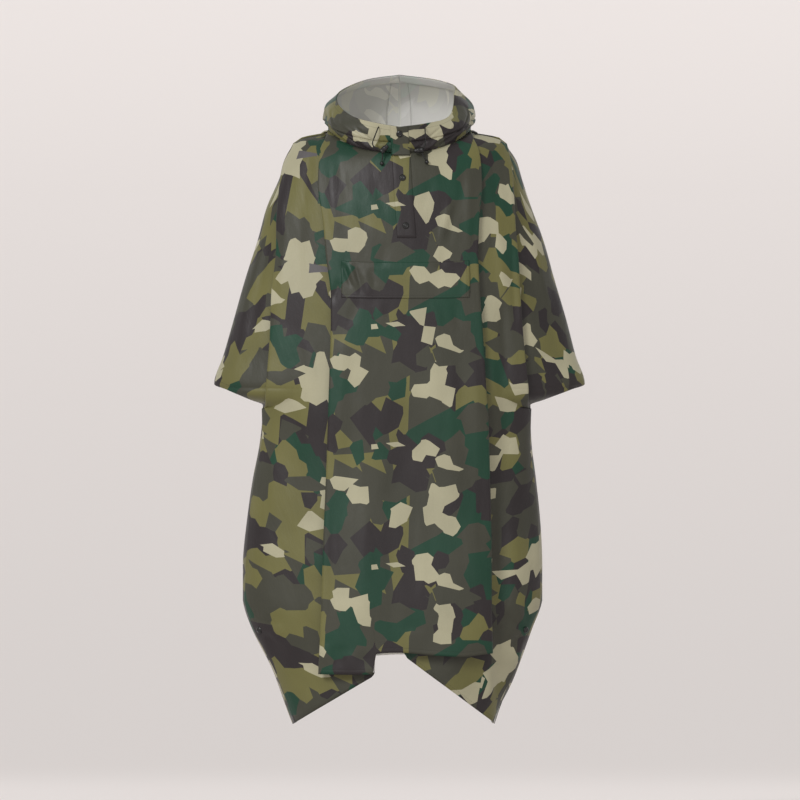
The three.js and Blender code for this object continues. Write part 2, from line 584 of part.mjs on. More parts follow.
// Placket, over the hood's front edges and the chest. It bridges the hollow of the neck's seam, from the
// hood's fourth ring to the chest's third.
const placketOut = WALL / 2 + 2 * SEAM;
const PLACKET_HOOD_SHARES = range(HOOD_RINGS).map((i) => 1 - i / (HOOD_RINGS - 1)).slice(0, -3);
const PLACKET_DROPS = LEVELS.filter((drop) => drop >= 4 && drop <= 140);
const PLACKET_LAST = LEVELS.find((drop) => drop > 140);
function placketGrid() {
  const columns = [-1, 0, 1];
  const rows = PLACKET_HOOD_SHARES.map((share) => columns.map((side) => {
    const reach = hoodPoint('left', 0, share);
    const across = side * PLACKET.half - PLACKET.lean * reach.z;
    const angle = THREE.MathUtils.radToDeg(Math.asin(Math.abs(across / reach.y)));
    return hoodPoint(across < 0 ? 'left' : 'right', angle, share);
  }));
  const chest = (drop) => columns.map((side) => {
    const middle = ringAt('front', 'left', drop).middle;
    const across = side * PLACKET.half - PLACKET.lean * middle;
    const hand = across < 0 ? 'left' : 'right';
    return clothPoint('front', hand, shareOf(ringAt('front', hand, drop), Math.abs(across)), drop,
      foldsAt('front', hand, drop).centre);
  });
  PLACKET_DROPS.forEach((drop) => rows.push(chest(drop)));
  const next = chest(PLACKET_LAST);
  rows.push(rows[rows.length - 1].map((point, k) => point.clone().lerp(next[k], PLACKET.end)));
  return rows;
}
const placket = placketGrid();
const placketNormals = gridNormals(placket, -1);
add('placket', wallGeometry(placket, placketNormals, placketOut, placketOut + WALL), outerCloth());

// Chest pocket's flap
const flapGrid = range(FLAP.rows).map((j) => {
  const drop = mix(FLAP.top, FLAP.bottom, j / (FLAP.rows - 1));
  return range(FLAP.columns).map((k) => {
    const across = mix(FLAP.left, FLAP.right, k / (FLAP.columns - 1));
    const hand = across < 0 ? 'left' : 'right';
    const share = shareOf(ringAt('front', hand, drop), Math.abs(across));
    return clothPoint('front', hand, share, drop, foldsAt('front', hand, drop).centre);
  });
});
const flapOut = WALL / 2 + FLAP.lift;
add('pocket_flap', wallGeometry(flapGrid, gridNormals(flapGrid, -1), flapOut, flapOut + WALL), outerCloth());

// Snaps
function snapGeometry() {
  const { radius, face, thick } = SNAP;
  const profile = [[0, 0], [radius, 0], [radius, 0.7], [face, thick], [face - 0.8, 1.5], [0, 1.5]];
  const lathe = new THREE.LatheGeometry(profile.map(([x, y]) => new THREE.Vector2(x, y)), SIDES.snap);
  return lathe.rotateX(Math.PI / 2);
}
function addSnap(name, at, normal, out) {
  const turned = new THREE.Quaternion().setFromUnitVectors(new THREE.Vector3(0, 0, 1), normal);
  const place = at.clone().addScaledVector(normal, out + SNAP.lift);
  const matrix = new THREE.Matrix4().compose(place, turned, new THREE.Vector3(1, 1, 1));
  add(name, closed(snapGeometry().applyMatrix4(matrix)), darkPlastic());
}
function closed(geometry) {
  for (const key of Object.keys(geometry.attributes)) {
    if (key !== 'position') geometry.deleteAttribute(key);
  }
  return facesOut(mergeVertices(geometry, 1e-4));
}
function onPlacket(height) {
  const column = placket.map((row) => row[1]);
  const j = column.findIndex((point, i) => column[i + 1].z <= height);
  const share = (column[j].z - height) / (column[j].z - column[j + 1].z);
  const at = column[j].clone().lerp(column[j + 1], share);
  const normal = placketNormals[j][1].clone().lerp(placketNormals[j + 1][1], share).normalize();
  return { at, normal };
}
[1, -85, -178].forEach((height, i) => {
  const { at, normal } = onPlacket(height);
  addSnap(`placket_snap_${i + 1}`, at, normal, placketOut + WALL);
});
const SIDE_SNAPS = { drop: 963, left: 269, right: 241 };
for (const face of ['front', 'back']) {
  for (const hand of HANDS) {
    const share = shareOf(ringAt(face, hand, SIDE_SNAPS.drop), SIDE_SNAPS[hand]);
    const height = foldsAt(face, hand, SIDE_SNAPS.drop).side;
    const near = clothPoint(face, hand, share, SIDE_SNAPS.drop, height);
    const flip = (face === 'front') === (hand === 'left') ? -1 : 1;
    const { at, normal } = onGrid(sideGrids[face + hand], near, flip);
    addSnap(`side_snap_${face}_${hand}`, at, normal, WALL / 2);
  }
}

// Drawcords: each comes out of the hood's channel square to the cloth, hangs in front of it, runs through
// its lock and ends in a bead. exit is where the cord comes out, and the route goes on from there.
const CORDS = {
  left: {
    exit: [-41, -111.6, 15],
    route: [[-42, -115.5, 12], [-45, -117, 4], [-50, -117, -9], [-52.5, -117, -18],
      [-49, -117.2, -25], [-41.5, -117.5, -27.2], [-36.3, -117.5, -32.3], [-33, -118, -40],
      [-34, -118.5, -52]],
    lock: [-34, -117.5, -30], tilt: 45, bead: [-34.4, -118.7, -56.6],
  },
  right: {
    exit: [49, -107.9, 14],
    route: [[49.5, -112, 11], [50, -114, 3], [50.5, -114, -10], [49.5, -114, -21],
      [46, -114.5, -30], [44.5, -115, -37], [47, -115.7, -44], [51, -116.3, -50]],
    lock: [42.8, -114.6, -30.6], tilt: 188, bead: [53.2, -116.6, -53.9],
  },
};
const CORD_SEAT = WALL / 2 + 0.1; // the cord's end stands this far off the middle of the hood's wall
const toVector = ([x, y, z]) => new THREE.Vector3(x, y, z);
function tube(curve, radius, sides, steps) {
  const corners = range(sides).map((i) => {
    const angle = (2 * Math.PI * i) / sides;
    return new THREE.Vector2(radius * Math.cos(angle), radius * Math.sin(angle));
  });
  const settings = { steps, extrudePath: curve, curveSegments: 1 };
  return closed(new THREE.ExtrudeGeometry(new THREE.Shape(corners), settings));
}
function solid(geometry) {
  return new wasm.Manifold(new wasm.Mesh({
    numProp: 3,
    vertProperties: new Float32Array(geometry.attributes.position.array),
    triVerts: new Uint32Array(geometry.index.array),
  }));
}
function fromSolid(manifold) {
  const mesh = manifold.getMesh();
  const geometry = new THREE.BufferGeometry();
  geometry.setAttribute('position', new THREE.Float32BufferAttribute(mesh.vertProperties, 3));
  geometry.setIndex([...mesh.triVerts]);
  return geometry;
}

// A lock's barrel and its button, whose end is 1 mm inside the barrel. tilt is the button's way up from +X.
function lockSolid(centre, tilt) {
  const barrel = new THREE.CylinderGeometry(LOCK.barrel, LOCK.barrel, LOCK.length, SIDES.lock);
  const button = new THREE.CylinderGeometry(LOCK.button, LOCK.button, LOCK.press + 1, SIDES.lock);
  button.translate(0, (LOCK.length + LOCK.press - 1) / 2, 0);
  const way = THREE.MathUtils.degToRad(90 - tilt);
  const place = (geometry) => (
    solid(closed(geometry.rotateX(Math.PI / 2).rotateY(way).translate(...centre))));
  return place(barrel).add(place(button));
}
for (const [hand, cord] of Object.entries(CORDS)) {
  const { at, normal } = onGrid(hoodGrids[`hood_${hand}`], toVector(cord.exit), 1);
  const start = [CORD_SEAT, CORD_SEAT + 1].map((out) => at.clone().addScaledVector(normal, out));
  const curve = new THREE.CatmullRomCurve3([...start, ...cord.route.map(toVector)], false, 'centripetal');
  add(`drawcord_${hand}`, tube(curve, CORD_RADIUS, SIDES.cord, CORD_STEPS), darkCord());
  const bore = solid(tube(curve, CORD_RADIUS + CORD_PLAY, SIDES.bore, BORE_STEPS));
  add(`cord_lock_${hand}`, fromSolid(lockSolid(cord.lock, cord.tilt).subtract(bore)), darkPlastic());
  const bead = new THREE.LatheGeometry(range(BEAD_ARCS + 1).map((i) => {
    const angle = (Math.PI * i) / BEAD_ARCS - Math.PI / 2;
    return new THREE.Vector2(BEAD_RADIUS * Math.cos(angle), BEAD_RADIUS * Math.sin(angle));
  }), SIDES.bead);
  add(`cord_bead_${hand}`, closed(bead.rotateX(Math.PI / 2).translate(...cord.bead)), darkPlastic());
}

export default poncho;
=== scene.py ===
import math

import bpy
import numpy as np
from mathutils import Matrix, Vector
from mathutils.bvhtree import BVHTree


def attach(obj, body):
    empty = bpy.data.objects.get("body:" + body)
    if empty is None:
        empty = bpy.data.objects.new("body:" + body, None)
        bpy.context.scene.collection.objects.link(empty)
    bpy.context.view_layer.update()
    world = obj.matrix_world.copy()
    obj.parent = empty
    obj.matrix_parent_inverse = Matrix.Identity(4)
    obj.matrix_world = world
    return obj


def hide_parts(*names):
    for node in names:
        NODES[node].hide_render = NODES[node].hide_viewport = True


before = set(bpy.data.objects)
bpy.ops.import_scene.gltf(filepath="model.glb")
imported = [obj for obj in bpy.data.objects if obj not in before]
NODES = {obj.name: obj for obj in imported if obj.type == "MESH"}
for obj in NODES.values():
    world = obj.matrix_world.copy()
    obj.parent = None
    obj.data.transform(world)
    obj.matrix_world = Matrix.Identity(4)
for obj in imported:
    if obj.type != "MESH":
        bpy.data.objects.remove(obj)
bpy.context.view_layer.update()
MM = 0.001

# Camera: a very long lens, level with the middle of the poncho
PHOTO_SCALE = 1.95  # mm of the object for each pixel of the photograph
CAMERA_AWAY = 40.0
camera_data = bpy.data.cameras.new("camera")
camera_data.sensor_width = 36
camera_data.lens = 36 * CAMERA_AWAY / (800 * PHOTO_SCALE * MM)
camera_data.clip_end = 200
camera = bpy.data.objects.new("camera", camera_data)
bpy.context.scene.collection.objects.link(camera)
camera.location = (0.5 * PHOTO_SCALE * MM, -CAMERA_AWAY, (135 - 400) * PHOTO_SCALE * MM)
camera.rotation_euler = (math.pi / 2, 0, 0)
bpy.context.scene.camera = camera

# Cords: their routes from where they leave the hood, in mm
CORD_RADIUS = 1.2
CORDS = {
    "left": {
        "route": [[-42, -115.5, 12], [-45, -117, 4], [-50, -117, -9], [-52.5, -117, -18], [-49, -117.2, -25],
                  [-41.5, -117.5, -27.2], [-36.3, -117.5, -32.3], [-33, -118, -40], [-34, -118.5, -52]],
        "lock": [-31, -118, -30], "tilt": 45, "bead": [-34.4, -118.7, -56.6],
    },
    "right": {
        "route": [[49.5, -112, 11], [50, -114, 3], [50.5, -114, -10], [49.5, -114, -21], [46, -114.5, -30],
                  [44.5, -115, -37], [47, -115.7, -44], [51, -116.3, -50]],
        "lock": [39.8, -115.2, -31], "tilt": 188, "bead": [53.2, -116.6, -53.9],
    },
}

# The cloth's form, as in the solids
WALL = 1.6
SEAM = 0.3
NECK_GAP = 0.75
NECK_STEP = 1.5
HEM_ROWS_START = 907
LOWEST = 1149
SHEET = 1.0  # thickness of the shown cloth


def table(names, rows):
    return {name: np.array(column, float) for name, column in zip(names.split(), zip(*rows))}


RINGS = table("drop front back depth power left right open", [
    (0, -40, 12, 96, 2, 137, 137, 0),
    (1.5, -42.5, 10, 98, 2, 147, 147, 0),
    (4, -46, 6, 100, 2, 165, 165, 0),
    (10, -56, -4, 104, 2, 194, 198, 0),
    (29, -82, -28, 110, 2, 212, 213.5, 0),
    (49, -104, -52, 112, 2, 221, 227, 0),
    (88, -140, -92, 114, 2, 235, 239, 0),
    (140, -186, -143, 115, 1.95, 258, 256, 0),
    (205, -243, -207, 116, 1.9, 276, 280, 0),
    (283, -312, -284, 117, 1.85, 301, 302, 0),
    (361, -380, -361, 118, 1.8, 323, 325, 0),
    (430, -440, -430, 119, 1.8, 343, 343, 0),
    (486, -490, -486, 120, 1.8, 361, 361, 0),
    (496, -499, -496, 120, 1.82, 337, 334, 34),
    (506, -508, -506, 120, 1.92, 313, 307, 44),
    (516, -517, -516, 120, 2.15, 290, 281, 32),
    (526, -526, -526, 121, 2.6, 266, 255, 0),
    (600, -600, -600, 122, 2.45, 272, 257, 0),
    (673, -673, -673, 124, 2.3, 286, 266, 0),
    (751, -751, -751, 126, 2.2, 297, 274, 0),
    (829, -829, -829, 128, 2.15, 305, 278, 0),
    (907, -907, -907, 129, 2.1, 305, 278, 0),
    (963, -963, -963, 128, 2.1, 287, 258, 0),
    (1043, -1043, -1043, 126, 2.1, 247, 229, 0),
    (1149, -1149, -1149, 122, 2.1, 210, 188, 0),
])
MAIN_FOLD = table("drop left right leftDeep rightDeep backDeep radius", [
    (0, 137, 137, 7, 7, 7, 1.2),
    (10, 152, 152, 7, 7, 7, 1.3),
    (64, 153, 155, 9, 9, 8, 2.2),
    (133, 143, 149, 16, 16, 10, 3),
    (205, 137, 147, 22, 24, 14, 3.6),
    (283, 128, 150, 28, 32, 18, 4),
    (361, 128, 155, 35, 42, 20, 4.2),
    (478, 132, 162, 45, 58, 24, 4.6),
    (603, 136, 167, 56, 78, 28, 5),
    (801, 144, 172, 78, 112, 32, 5.6),
    (1008, 149, 171, 103, 164, 36, 6),
    (1149, 150, 168, 104, 162, 36, 6),
])
SLEEVE_FOLD = table("drop left right deep radius", [
    (0, 137, 137, 3, 1.2),
    (10, 190, 193, 3, 1.2),
    (29, 208, 208, 4, 1.4),
    (62, 222, 215, 7, 1.8),
    (137, 233, 219, 14, 2.4),
    (224, 236, 227, 20, 3),
    (302, 245, 231, 26, 3.4),
    (400, 249, 238, 32, 3.6),
    (490, 256, 247, 34, 3.6),
    (526, 258, 247, 22, 3),
    (600, 262, 247, 8, 2),
    (673, 278, 258, 4, 1.4),
    (751, 289, 266, 3, 1.2),
    (907, 297, 270, 3, 1.2),
    (963, 279, 250, 3, 1.2),
    (1043, 239, 221, 3, 1.2),
    (1149, 202, 180, 3, 1.2),
])
CENTRE_HEM = table("across front back", [
    (-160, 1046, 1010), (-120, 1048, 1014), (-70, 1049, 1016), (-49, 1048, 1016), (-43, 1009, 1016),
    (0, 1007, 1014), (60, 1012, 1016), (116, 1014, 1016), (180, 1004, 1010),
])
WAVES = [
    ("front", -72, 34, 4, 150), ("front", 30, 42, -3, 330), ("front", 98, 30, 4, 380),
    ("front", 196, 16, -7, 220), ("front", -196, 26, -4, 260), ("back", -60, 40, 5, 220),
    ("back", 52, 34, -4, 300), ("back", 205, 26, -5, 260), ("back", -190, 22, -5, 300),
]
WAVE_GROWTH = 420
HOOD = table("angle rise0 rise1 low0 low1 out0 out1 belly0 belly1 left0 left1 right0 right1", [
    (0, 3, 7, 108.5, -19, 111, -9, 114, 3, 118, 14, 118, 14),
    (25, 4, 8, 112, -16, 114, -7, 116, 6, 117, 23, 117, 21),
    (60, 3, 10, 134, 3, 134, 12, 131, 24, 112, 39, 112, 37),
    (90, 1, 10, 145, 27, 144, 37, 140, 51, 121, 64, 107, 80),
    (120, 20, 10, 150, 26, 163, 36, 156, 62, 131, 88, 122, 98),
    (150, 20, 1, 150, -22, 183, -26, 178, 54, 124, 110, 124, 111),
    (180, 17, 0, 158, -54, 192, -58, 188, 54, 112, 119, 112, 119),
])
HOOD_STRIP_HALF = 7
CORNER = {"left": (46, 1051, 210, 1149), "right": (6, 1012, 188, 1149)}

# Soft creases pressed into the cloth, listed for each face: start and end across and up from the
# neckline in mm, the half width, and the depth, which is negative for a trough.
CREASES = {
    "front": [
        # from the shoulders down over the chest
        (-118, -30, -96, -150, 9, -1.6), (-132, -42, -118, -210, 7, 1.4), (-88, -96, -60, -190, 10, -1.2),
        (98, -128, 74, -214, 6, 2.2), (108, -120, 88, -226, 8, -1.8), (120, -60, 112, -178, 8, -1.4),
        (132, -70, 126, -240, 7, 1.3), (64, -88, 40, -150, 9, -1.1), (-44, -84, -30, -160, 10, -1.0),
        (22, -170, 30, -236, 12, 1.0), (-20, -210, -38, -262, 11, -0.9), (88, -232, 70, -262, 8, -1.2),
        # crumples at the flap's left end and below it
        (-106, -250, -88, -300, 5, -2.2), (-96, -252, -74, -306, 5, 2.0), (-84, -248, -70, -318, 5, -1.8),
        (-66, -262, -52, -322, 6, 1.4), (-110, -286, -128, -330, 6, -1.8), (-50, -258, -44, -300, 6, -1.0),
        (-78, -322, -92, -372, 8, -1.3), (-40, -322, -30, -380, 9, 1.1), (10, -322, 16, -392, 10, -0.9),
        (60, -324, 76, -380, 8, 1.2), (104, -322, 112, -390, 9, -1.3), (128, -262, 120, -322, 6, 1.3),
        # long soft ridges of the hanging front
        (-104, -380, -112, -640, 13, 1.8), (-88, -420, -96, -760, 15, -1.9), (-30, -470, -44, -800, 17, 1.6),
        (18, -430, 8, -700, 18, -1.5), (62, -420, 74, -690, 14, 1.7), (112, -400, 126, -720, 12, -2.0),
        (140, -430, 152, -700, 8, 1.6), (-60, -700, -68, -960, 14, 1.7), (-18, -760, -10, -990, 15, -1.6),
        (40, -700, 48, -980, 14, 1.5), (96, -720, 104, -990, 12, -1.8), (138, -740, 146, -1000, 9, 1.6),
        (-120, -700, -128, -980, 9, -1.8), (150, -560, 158, -820, 6, -1.4),
        # hem of the front, and the crumple at its left end
        (-70, -1006, -58, -1040, 7, -1.8), (-92, -1002, -86, -1044, 6, 1.8), (-116, -990, -108, -1036, 6, -1.8),
        (-136, -986, -130, -1030, 6, 1.8), (20, -960, 26, -1008, 9, 1.2), (84, -956, 88, -1010, 8, -1.3),
        (132, -950, 142, -1006, 7, 1.4),
        # shoulders and sleeves
        (-170, -26, -186, -150, 8, -1.6), (-206, -40, -232, -200, 7, 1.5), (-184, -120, -196, -330, 9, -1.8),
        (-214, -150, -226, -330, 7, 1.4), (-246, -170, -292, -400, 9, -1.9), (-262, -190, -322, -430, 8, 1.6),
        (-240, -300, -270, -486, 8, -1.6), (-290, -350, -330, -478, 7, 1.3), (-270, -410, -300, -492, 7, -1.5),
        (174, -30, 190, -160, 8, -1.7), (204, -50, 222, -190, 6, 1.5), (184, -140, 200, -330, 8, 1.9),
        (212, -200, 222, -400, 6, -1.7), (236, -150, 262, -330, 8, -1.8), (252, -180, 300, -380, 8, 1.7),
        (244, -300, 268, -470, 8, 1.6), (284, -330, 324, -470, 8, -1.7), (268, -400, 300, -490, 7, 1.4),
        (196, -330, 206, -480, 7, -1.8),
        # sides below the sleeves
        (-170, -400, -176, -620, 10, 1.8), (-200, -480, -214, -700, 11, -1.9), (-236, -540, -252, -760, 10, 1.7),
        (-184, -680, -196, -900, 11, 1.6), (-224, -740, -240, -920, 10, -1.7), (-266, -700, -280, -880, 8, 1.4),
        (-160, -840, -170, -1040, 9, -1.8), (-206, -900, -214, -1060, 10, 1.7), (180, -440, 186, -640, 7, 1.7),
        (206, -500, 216, -720, 9, -1.8), (236, -540, 244, -700, 8, 1.6), (190, -700, 198, -920, 8, -1.9),
        (220, -760, 228, -930, 9, 1.6), (250, -720, 258, -880, 7, -1.3), (196, -900, 200, -1060, 8, 1.6),
        (-180, -1060, -192, -1120, 7, -1.5), (168, -1030, 176, -1110, 7, 1.5), (120, -1040, 140, -1070, 7, -1.4),
        # pulls that spread from the side snaps
        (-267, -962, -226, -934, 5, -2.6), (-267, -966, -218, -966, 5, 2.4), (-266, -970, -228, -1002, 5, -2.6),
        (-268, -958, -244, -912, 5, 2.0), (-262, -976, -244, -1026, 5, 1.8), (-270, -956, -264, -900, 4, -1.8),
        (240, -962, 204, -930, 5, -2.6), (240, -966, 196, -962, 5, 2.4), (238, -972, 206, -1004, 5, -2.6),
        (240, -956, 224, -908, 5, 2.0), (236, -976, 222, -1028, 5, 1.8), (244, -954, 246, -896, 4, -1.8),
    ],
    "back": [
        (-110, -10, -96, -160, 9, -1.7), (-60, -40, -46, -170, 10, 1.3), (0, -70, 6, -230, 13, -1.3),
        (58, -40, 46, -180, 10, 1.4), (112, -14, 98, -170, 9, -1.7), (-126, -120, -132, -330, 9, 1.6),
        (126, -130, 134, -340, 9, 1.5), (-84, -220, -92, -520, 14, -1.8), (-30, -280, -36, -600, 16, 1.6),
        (26, -260, 32, -560, 16, -1.6), (84, -240, 90, -500, 14, 1.7), (-112, -520, -120, -860, 11, 1.8),
        (-56, -560, -60, -900, 16, -1.7), (4, -600, 0, -940, 17, 1.6), (62, -560, 68, -900, 14, -1.8),
        (116, -520, 126, -860, 11, 1.7), (-90, -860, -96, -1006, 10, -1.5), (-20, -880, -24, -1008, 11, 1.4),
        (44, -880, 48, -1008, 10, -1.5), (100, -880, 106, -1006, 9, 1.4), (-170, -26, -188, -170, 8, -1.7),
        (-206, -60, -230, -230, 8, 1.5), (-190, -180, -204, -420, 9, -1.8), (-248, -190, -296, -420, 9, 1.8),
        (-280, -260, -324, -456, 8, -1.6), (-262, -400, -286, -490, 7, 1.4), (172, -30, 190, -170, 8, 1.6),
        (206, -60, 226, -230, 8, -1.5), (192, -190, 206, -420, 9, 1.8), (248, -190, 292, -410, 9, -1.8),
        (282, -270, 322, -450, 8, 1.6), (264, -390, 290, -490, 7, -1.4), (-190, -520, -204, -780, 11, 1.8),
        (-236, -560, -252, -800, 10, -1.7), (-200, -820, -208, -1030, 10, -1.7), (188, -520, 200, -780, 11, -1.8),
        (232, -560, 242, -780, 9, 1.7), (194, -820, 198, -1030, 9, 1.7), (-267, -962, -226, -932, 5, -2.6),
        (-267, -966, -220, -968, 5, 2.4), (-266, -970, -230, -1004, 5, -2.4), (240, -962, 204, -932, 5, -2.6),
        (240, -966, 198, -968, 5, 2.4), (238, -972, 208, -1004, 5, -2.4),
    ],
}

# Creases of the hood: degrees round from the front (left is negative), share of the way up from the neck's
# seam, the same for the other end, the half width in mm, and the depth.
HOOD_CREASES = [
    (-20, 0.10, -34, 0.52, 4, -1.8), (-30, 0.05, -48, 0.60, 4, 1.8), (-42, 0.08, -62, 0.50, 4, -1.9),
    (-52, 0.04, -76, 0.66, 5, 1.9), (-64, 0.10, -88, 0.56, 4, -1.8), (-78, 0.05, -104, 0.70, 5, 1.8),
    (-92, 0.08, -118, 0.55, 5, -2.0), (-26, 0.45, -46, 0.86, 4, -1.3), (-40, 0.50, -66, 0.92, 4, 1.4),
    (-60, 0.48, -84, 0.90, 4, -1.4), (-82, 0.55, -112, 0.94, 5, 1.4), (-106, 0.20, -140, 0.62, 6, 2.0),
    (-124, 0.10, -150, 0.45, 6, -2.2), (-138, 0.30, -166, 0.70, 7, 2.2), (-150, 0.12, -172, 0.52, 6, -2.0),
    (18, 0.12, 30, 0.55, 4, -1.8), (28, 0.06, 44, 0.62, 4, 1.8), (40, 0.10, 58, 0.48, 4, -1.9),
    (50, 0.05, 70, 0.68, 5, 2.0), (62, 0.08, 86, 0.55, 4, -1.8), (76, 0.06, 100, 0.72, 5, 1.8),
    (90, 0.10, 116, 0.58, 5, -2.0), (24, 0.48, 44, 0.88, 4, -1.3), (42, 0.52, 62, 0.94, 4, 1.3),
    (58, 0.46, 86, 0.92, 4, -1.5), (80, 0.58, 110, 0.95, 5, 1.4), (104, 0.22, 136, 0.60, 6, 2.0),
    (122, 0.12, 148, 0.48, 6, -2.2), (136, 0.28, 164, 0.72, 7, 2.2), (152, 0.14, 174, 0.50, 6, -2.0),
    (-168, 0.35, 172, 0.58, 8, -1.8), (-160, 0.62, -176, 0.86, 8, 1.6), (160, 0.66, 176, 0.84, 8, -1.6),
    (-12, 0.12, -8, 0.60, 5, -1.2), (10, 0.15, 14, 0.62, 5, 1.2),
]


def mix(a, b, t):
    return a + (b - a) * t


def smooth(t):
    t = np.clip(t, 0, 1)
    return t * t * (3 - 2 * t)


def look(rows, key, at, column):
    """A value of a table's column, smooth between its rows."""
    xs, ys = rows[key], rows[column]
    last = len(xs) - 1
    order = np.arange(last + 1)
    before, after = np.maximum(order - 1, 0), np.minimum(order + 1, last)
    slopes = (ys[after] - ys[before]) / (xs[after] - xs[before])
    x = np.clip(at, xs[0], xs[-1])
    i = np.clip(np.searchsorted(xs, x, side="left") - 1, 0, last - 1)
    width = xs[i + 1] - xs[i]
    t = (x - xs[i]) / width
    p0, p1 = ys[i], ys[i + 1]
    chord = (p1 - p0) / width
    limit = 3 * np.abs(chord)

    def tame(s):
        return np.where(s * chord <= 0, 0, np.sign(s) * np.minimum(np.abs(s), limit)) * width

    s0, s1 = tame(slopes[i]), tame(slopes[i + 1])
    return p0 + t * (s0 + t * (3 * (p1 - p0) - 2 * s0 - s1 + t * (s0 + s1 - 2 * (p1 - p0))))


def ring_at(face, hand, drop):
    edge, depth, power, gap = (look(RINGS, "drop", drop, c) for c in (hand, "depth", "power", "open"))
    half = edge / (1 - (gap / depth) ** power) ** (1 / power)
    return {"half": half, "edge": edge, "depth": depth, "power": power,
            "middle": look(RINGS, "drop", drop, face), "side": -drop}


def share_of(ring, across):
    return np.arcsin(np.clip(across / ring["half"], 0, 1) ** (ring["power"] / 2)) / (math.pi / 2)


def base_point(face, hand, share, drop):
    ring = ring_at(face, hand, drop)
    angle = math.pi / 2 * np.clip(share, 0, 1)
    across = ring["half"] * np.sin(angle) ** (2 / ring["power"])
    away = ring["depth"] * np.maximum(0, np.cos(angle)) ** (2 / ring["power"])
    height = mix(ring["middle"], ring["side"], (across / ring["half"]) ** 3)
    sx, sy = (-1 if hand == "left" else 1), (-1 if face == "front" else 1)
    return np.stack([sx * across, sy * away, height], axis=-1)


def wave(face, across, drop):
    total = 0
    for side, at, wide, deep, start in WAVES:
        if side == face:
            total = total + deep * smooth((drop - start) / WAVE_GROWTH) * np.exp(-(((across - at) / wide) ** 2))
    return total


CREASE_SCALE = 1.5
HOOD_CREASE_SCALE = 1.6


def crease(rows, x, y, scale):
    """How far the creases of a table move the cloth out at x, y."""
    total = np.zeros_like(x)
    for x0, y0, x1, y1, wide, deep in rows:
        dx, dy = x1 - x0, y1 - y0
        t = ((x - x0) * dx + (y - y0) * dy) / (dx * dx + dy * dy)
        near = np.clip(t, 0, 1)
        far = np.hypot(x - x0 - near * dx, y - y0 - near * dy)
        ends = smooth(t / 0.3 + 0.15) * smooth((1 - t) / 0.4 + 0.15)
        total += deep * scale * ends * np.exp(-((far / wide) ** 2))
    return total


def cloth_point(face, hand, share, drop, height):
    """A point of the cloth: a point of the smooth body, moved out by the height of its layer."""
    share, drop, height = np.broadcast_arrays(np.asarray(share, float), np.asarray(drop, float), height)
    step_share, step_drop = 0.012, 5
    s0 = np.clip(share - step_share, 0, 1 - 2 * step_share)
    d0 = np.clip(drop - step_drop, 0, LOWEST - 2 * step_drop)
    at = base_point(face, hand, share, drop)
    along = base_point(face, hand, s0 + 2 * step_share, drop) - base_point(face, hand, s0, drop)
    down = base_point(face, hand, share, d0 + 2 * step_drop) - base_point(face, hand, share, d0)
    along = np.where((share <= step_share)[..., None], [-1 if hand == "left" else 1, 0, 0], along)
    normal = np.cross(along, down)
    normal /= np.linalg.norm(normal, axis=-1, keepdims=True)
    outward = np.where((at[..., :2] * normal[..., :2]).sum(-1) + 30 * normal[..., 2] < 0, -1, 1)
    # Creases die out at the shoulder's ridge and the side edge, where two pieces meet.
    room = smooth(drop / 30) * smooth((1 - share) / 0.06)
    lift = height + wave(face, at[..., 0], drop) + crease(CREASES[face], at[..., 0], at[..., 2], CREASE_SCALE) * room
    return at + normal * (outward * lift)[..., None]


FOLD_LIMITS = {"top": 0.992, "main": 0.94, "sleeve": 0.975}


def folds_at(face, hand, drop):
    ring = ring_at(face, hand, drop)
    r1, r2 = look(MAIN_FOLD, "drop", drop, "radius"), look(SLEEVE_FOLD, "drop", drop, "radius")

    def per_mm(at):
        p, q = np.clip(at - 0.01, 0, 0.98), np.clip(at + 0.01, 0.02, 1)
        apart = base_point(face, hand, p, drop) - base_point(face, hand, q, drop)
        return (q - p) / np.linalg.norm(apart, axis=-1)

    def inward(share, distance):
        at = share
        for _ in range(8):
            at = at - distance / 8 * per_mm(at)
        return at

    sleeve_share = np.minimum(share_of(ring, look(SLEEVE_FOLD, "drop", drop, hand)), FOLD_LIMITS["sleeve"])
    limit = np.where(drop < 1, FOLD_LIMITS["top"], np.minimum(FOLD_LIMITS["main"], sleeve_share - 0.03))
    deep = look(MAIN_FOLD, "drop", drop, f"{hand}Deep" if face == "front" else "backDeep")
    main_tip = inward(np.minimum(share_of(ring, look(MAIN_FOLD, "drop", drop, hand)), limit), r1)
    sleeve_tip = inward(sleeve_share, r2)
    main_root = inward(main_tip, np.maximum(deep - 2 * r1, 3))
    sleeve_root = inward(sleeve_tip, np.maximum(look(SLEEVE_FOLD, "drop", drop, "deep") - 2 * r2, 1))
    return {
        "zero": np.zeros_like(main_tip), "main_tip": main_tip, "main_root": main_root,
        "sleeve_tip": sleeve_tip, "sleeve_root": sleeve_root, "end": share_of(ring, ring["edge"]),
        "r1": r1, "r2": r2, "side": 4 * r2, "centre": 4 * r2 + 4 * r1,
        "main_tip_per": per_mm(main_tip), "main_root_per": per_mm(main_root),
        "sleeve_tip_per": per_mm(sleeve_tip), "sleeve_root_per": per_mm(sleeve_root),
    }


SEAM_SHARE = 0.35


def spans(start, end, height, pieces):
    return [lambda f, t=i / pieces: (mix(start(f), end(f), t), height(f)) for i in range(1, pieces + 1)]


def turns(name, top, radius, sign, steps):
    made = []
    for i in range(1, steps + 1):
        angle = math.pi * i / steps
        made.append(lambda f, a=angle: (
            np.clip(f[name] + sign * f[radius] * math.sin(a) * f[name + "_per"], 0, 1),
            top(f) - f[radius] + f[radius] * math.cos(a)))
    return made


def field(name):
    return lambda f: f[name]


def laid_seam(f):
    return mix(f["main_root"], f["main_tip"], SEAM_SHARE)


def centre_end(f):
    return laid_seam(f) + 2 * SEAM * f["main_root_per"]


def under_centre(f):
    return f["centre"] - 2 * f["r1"]


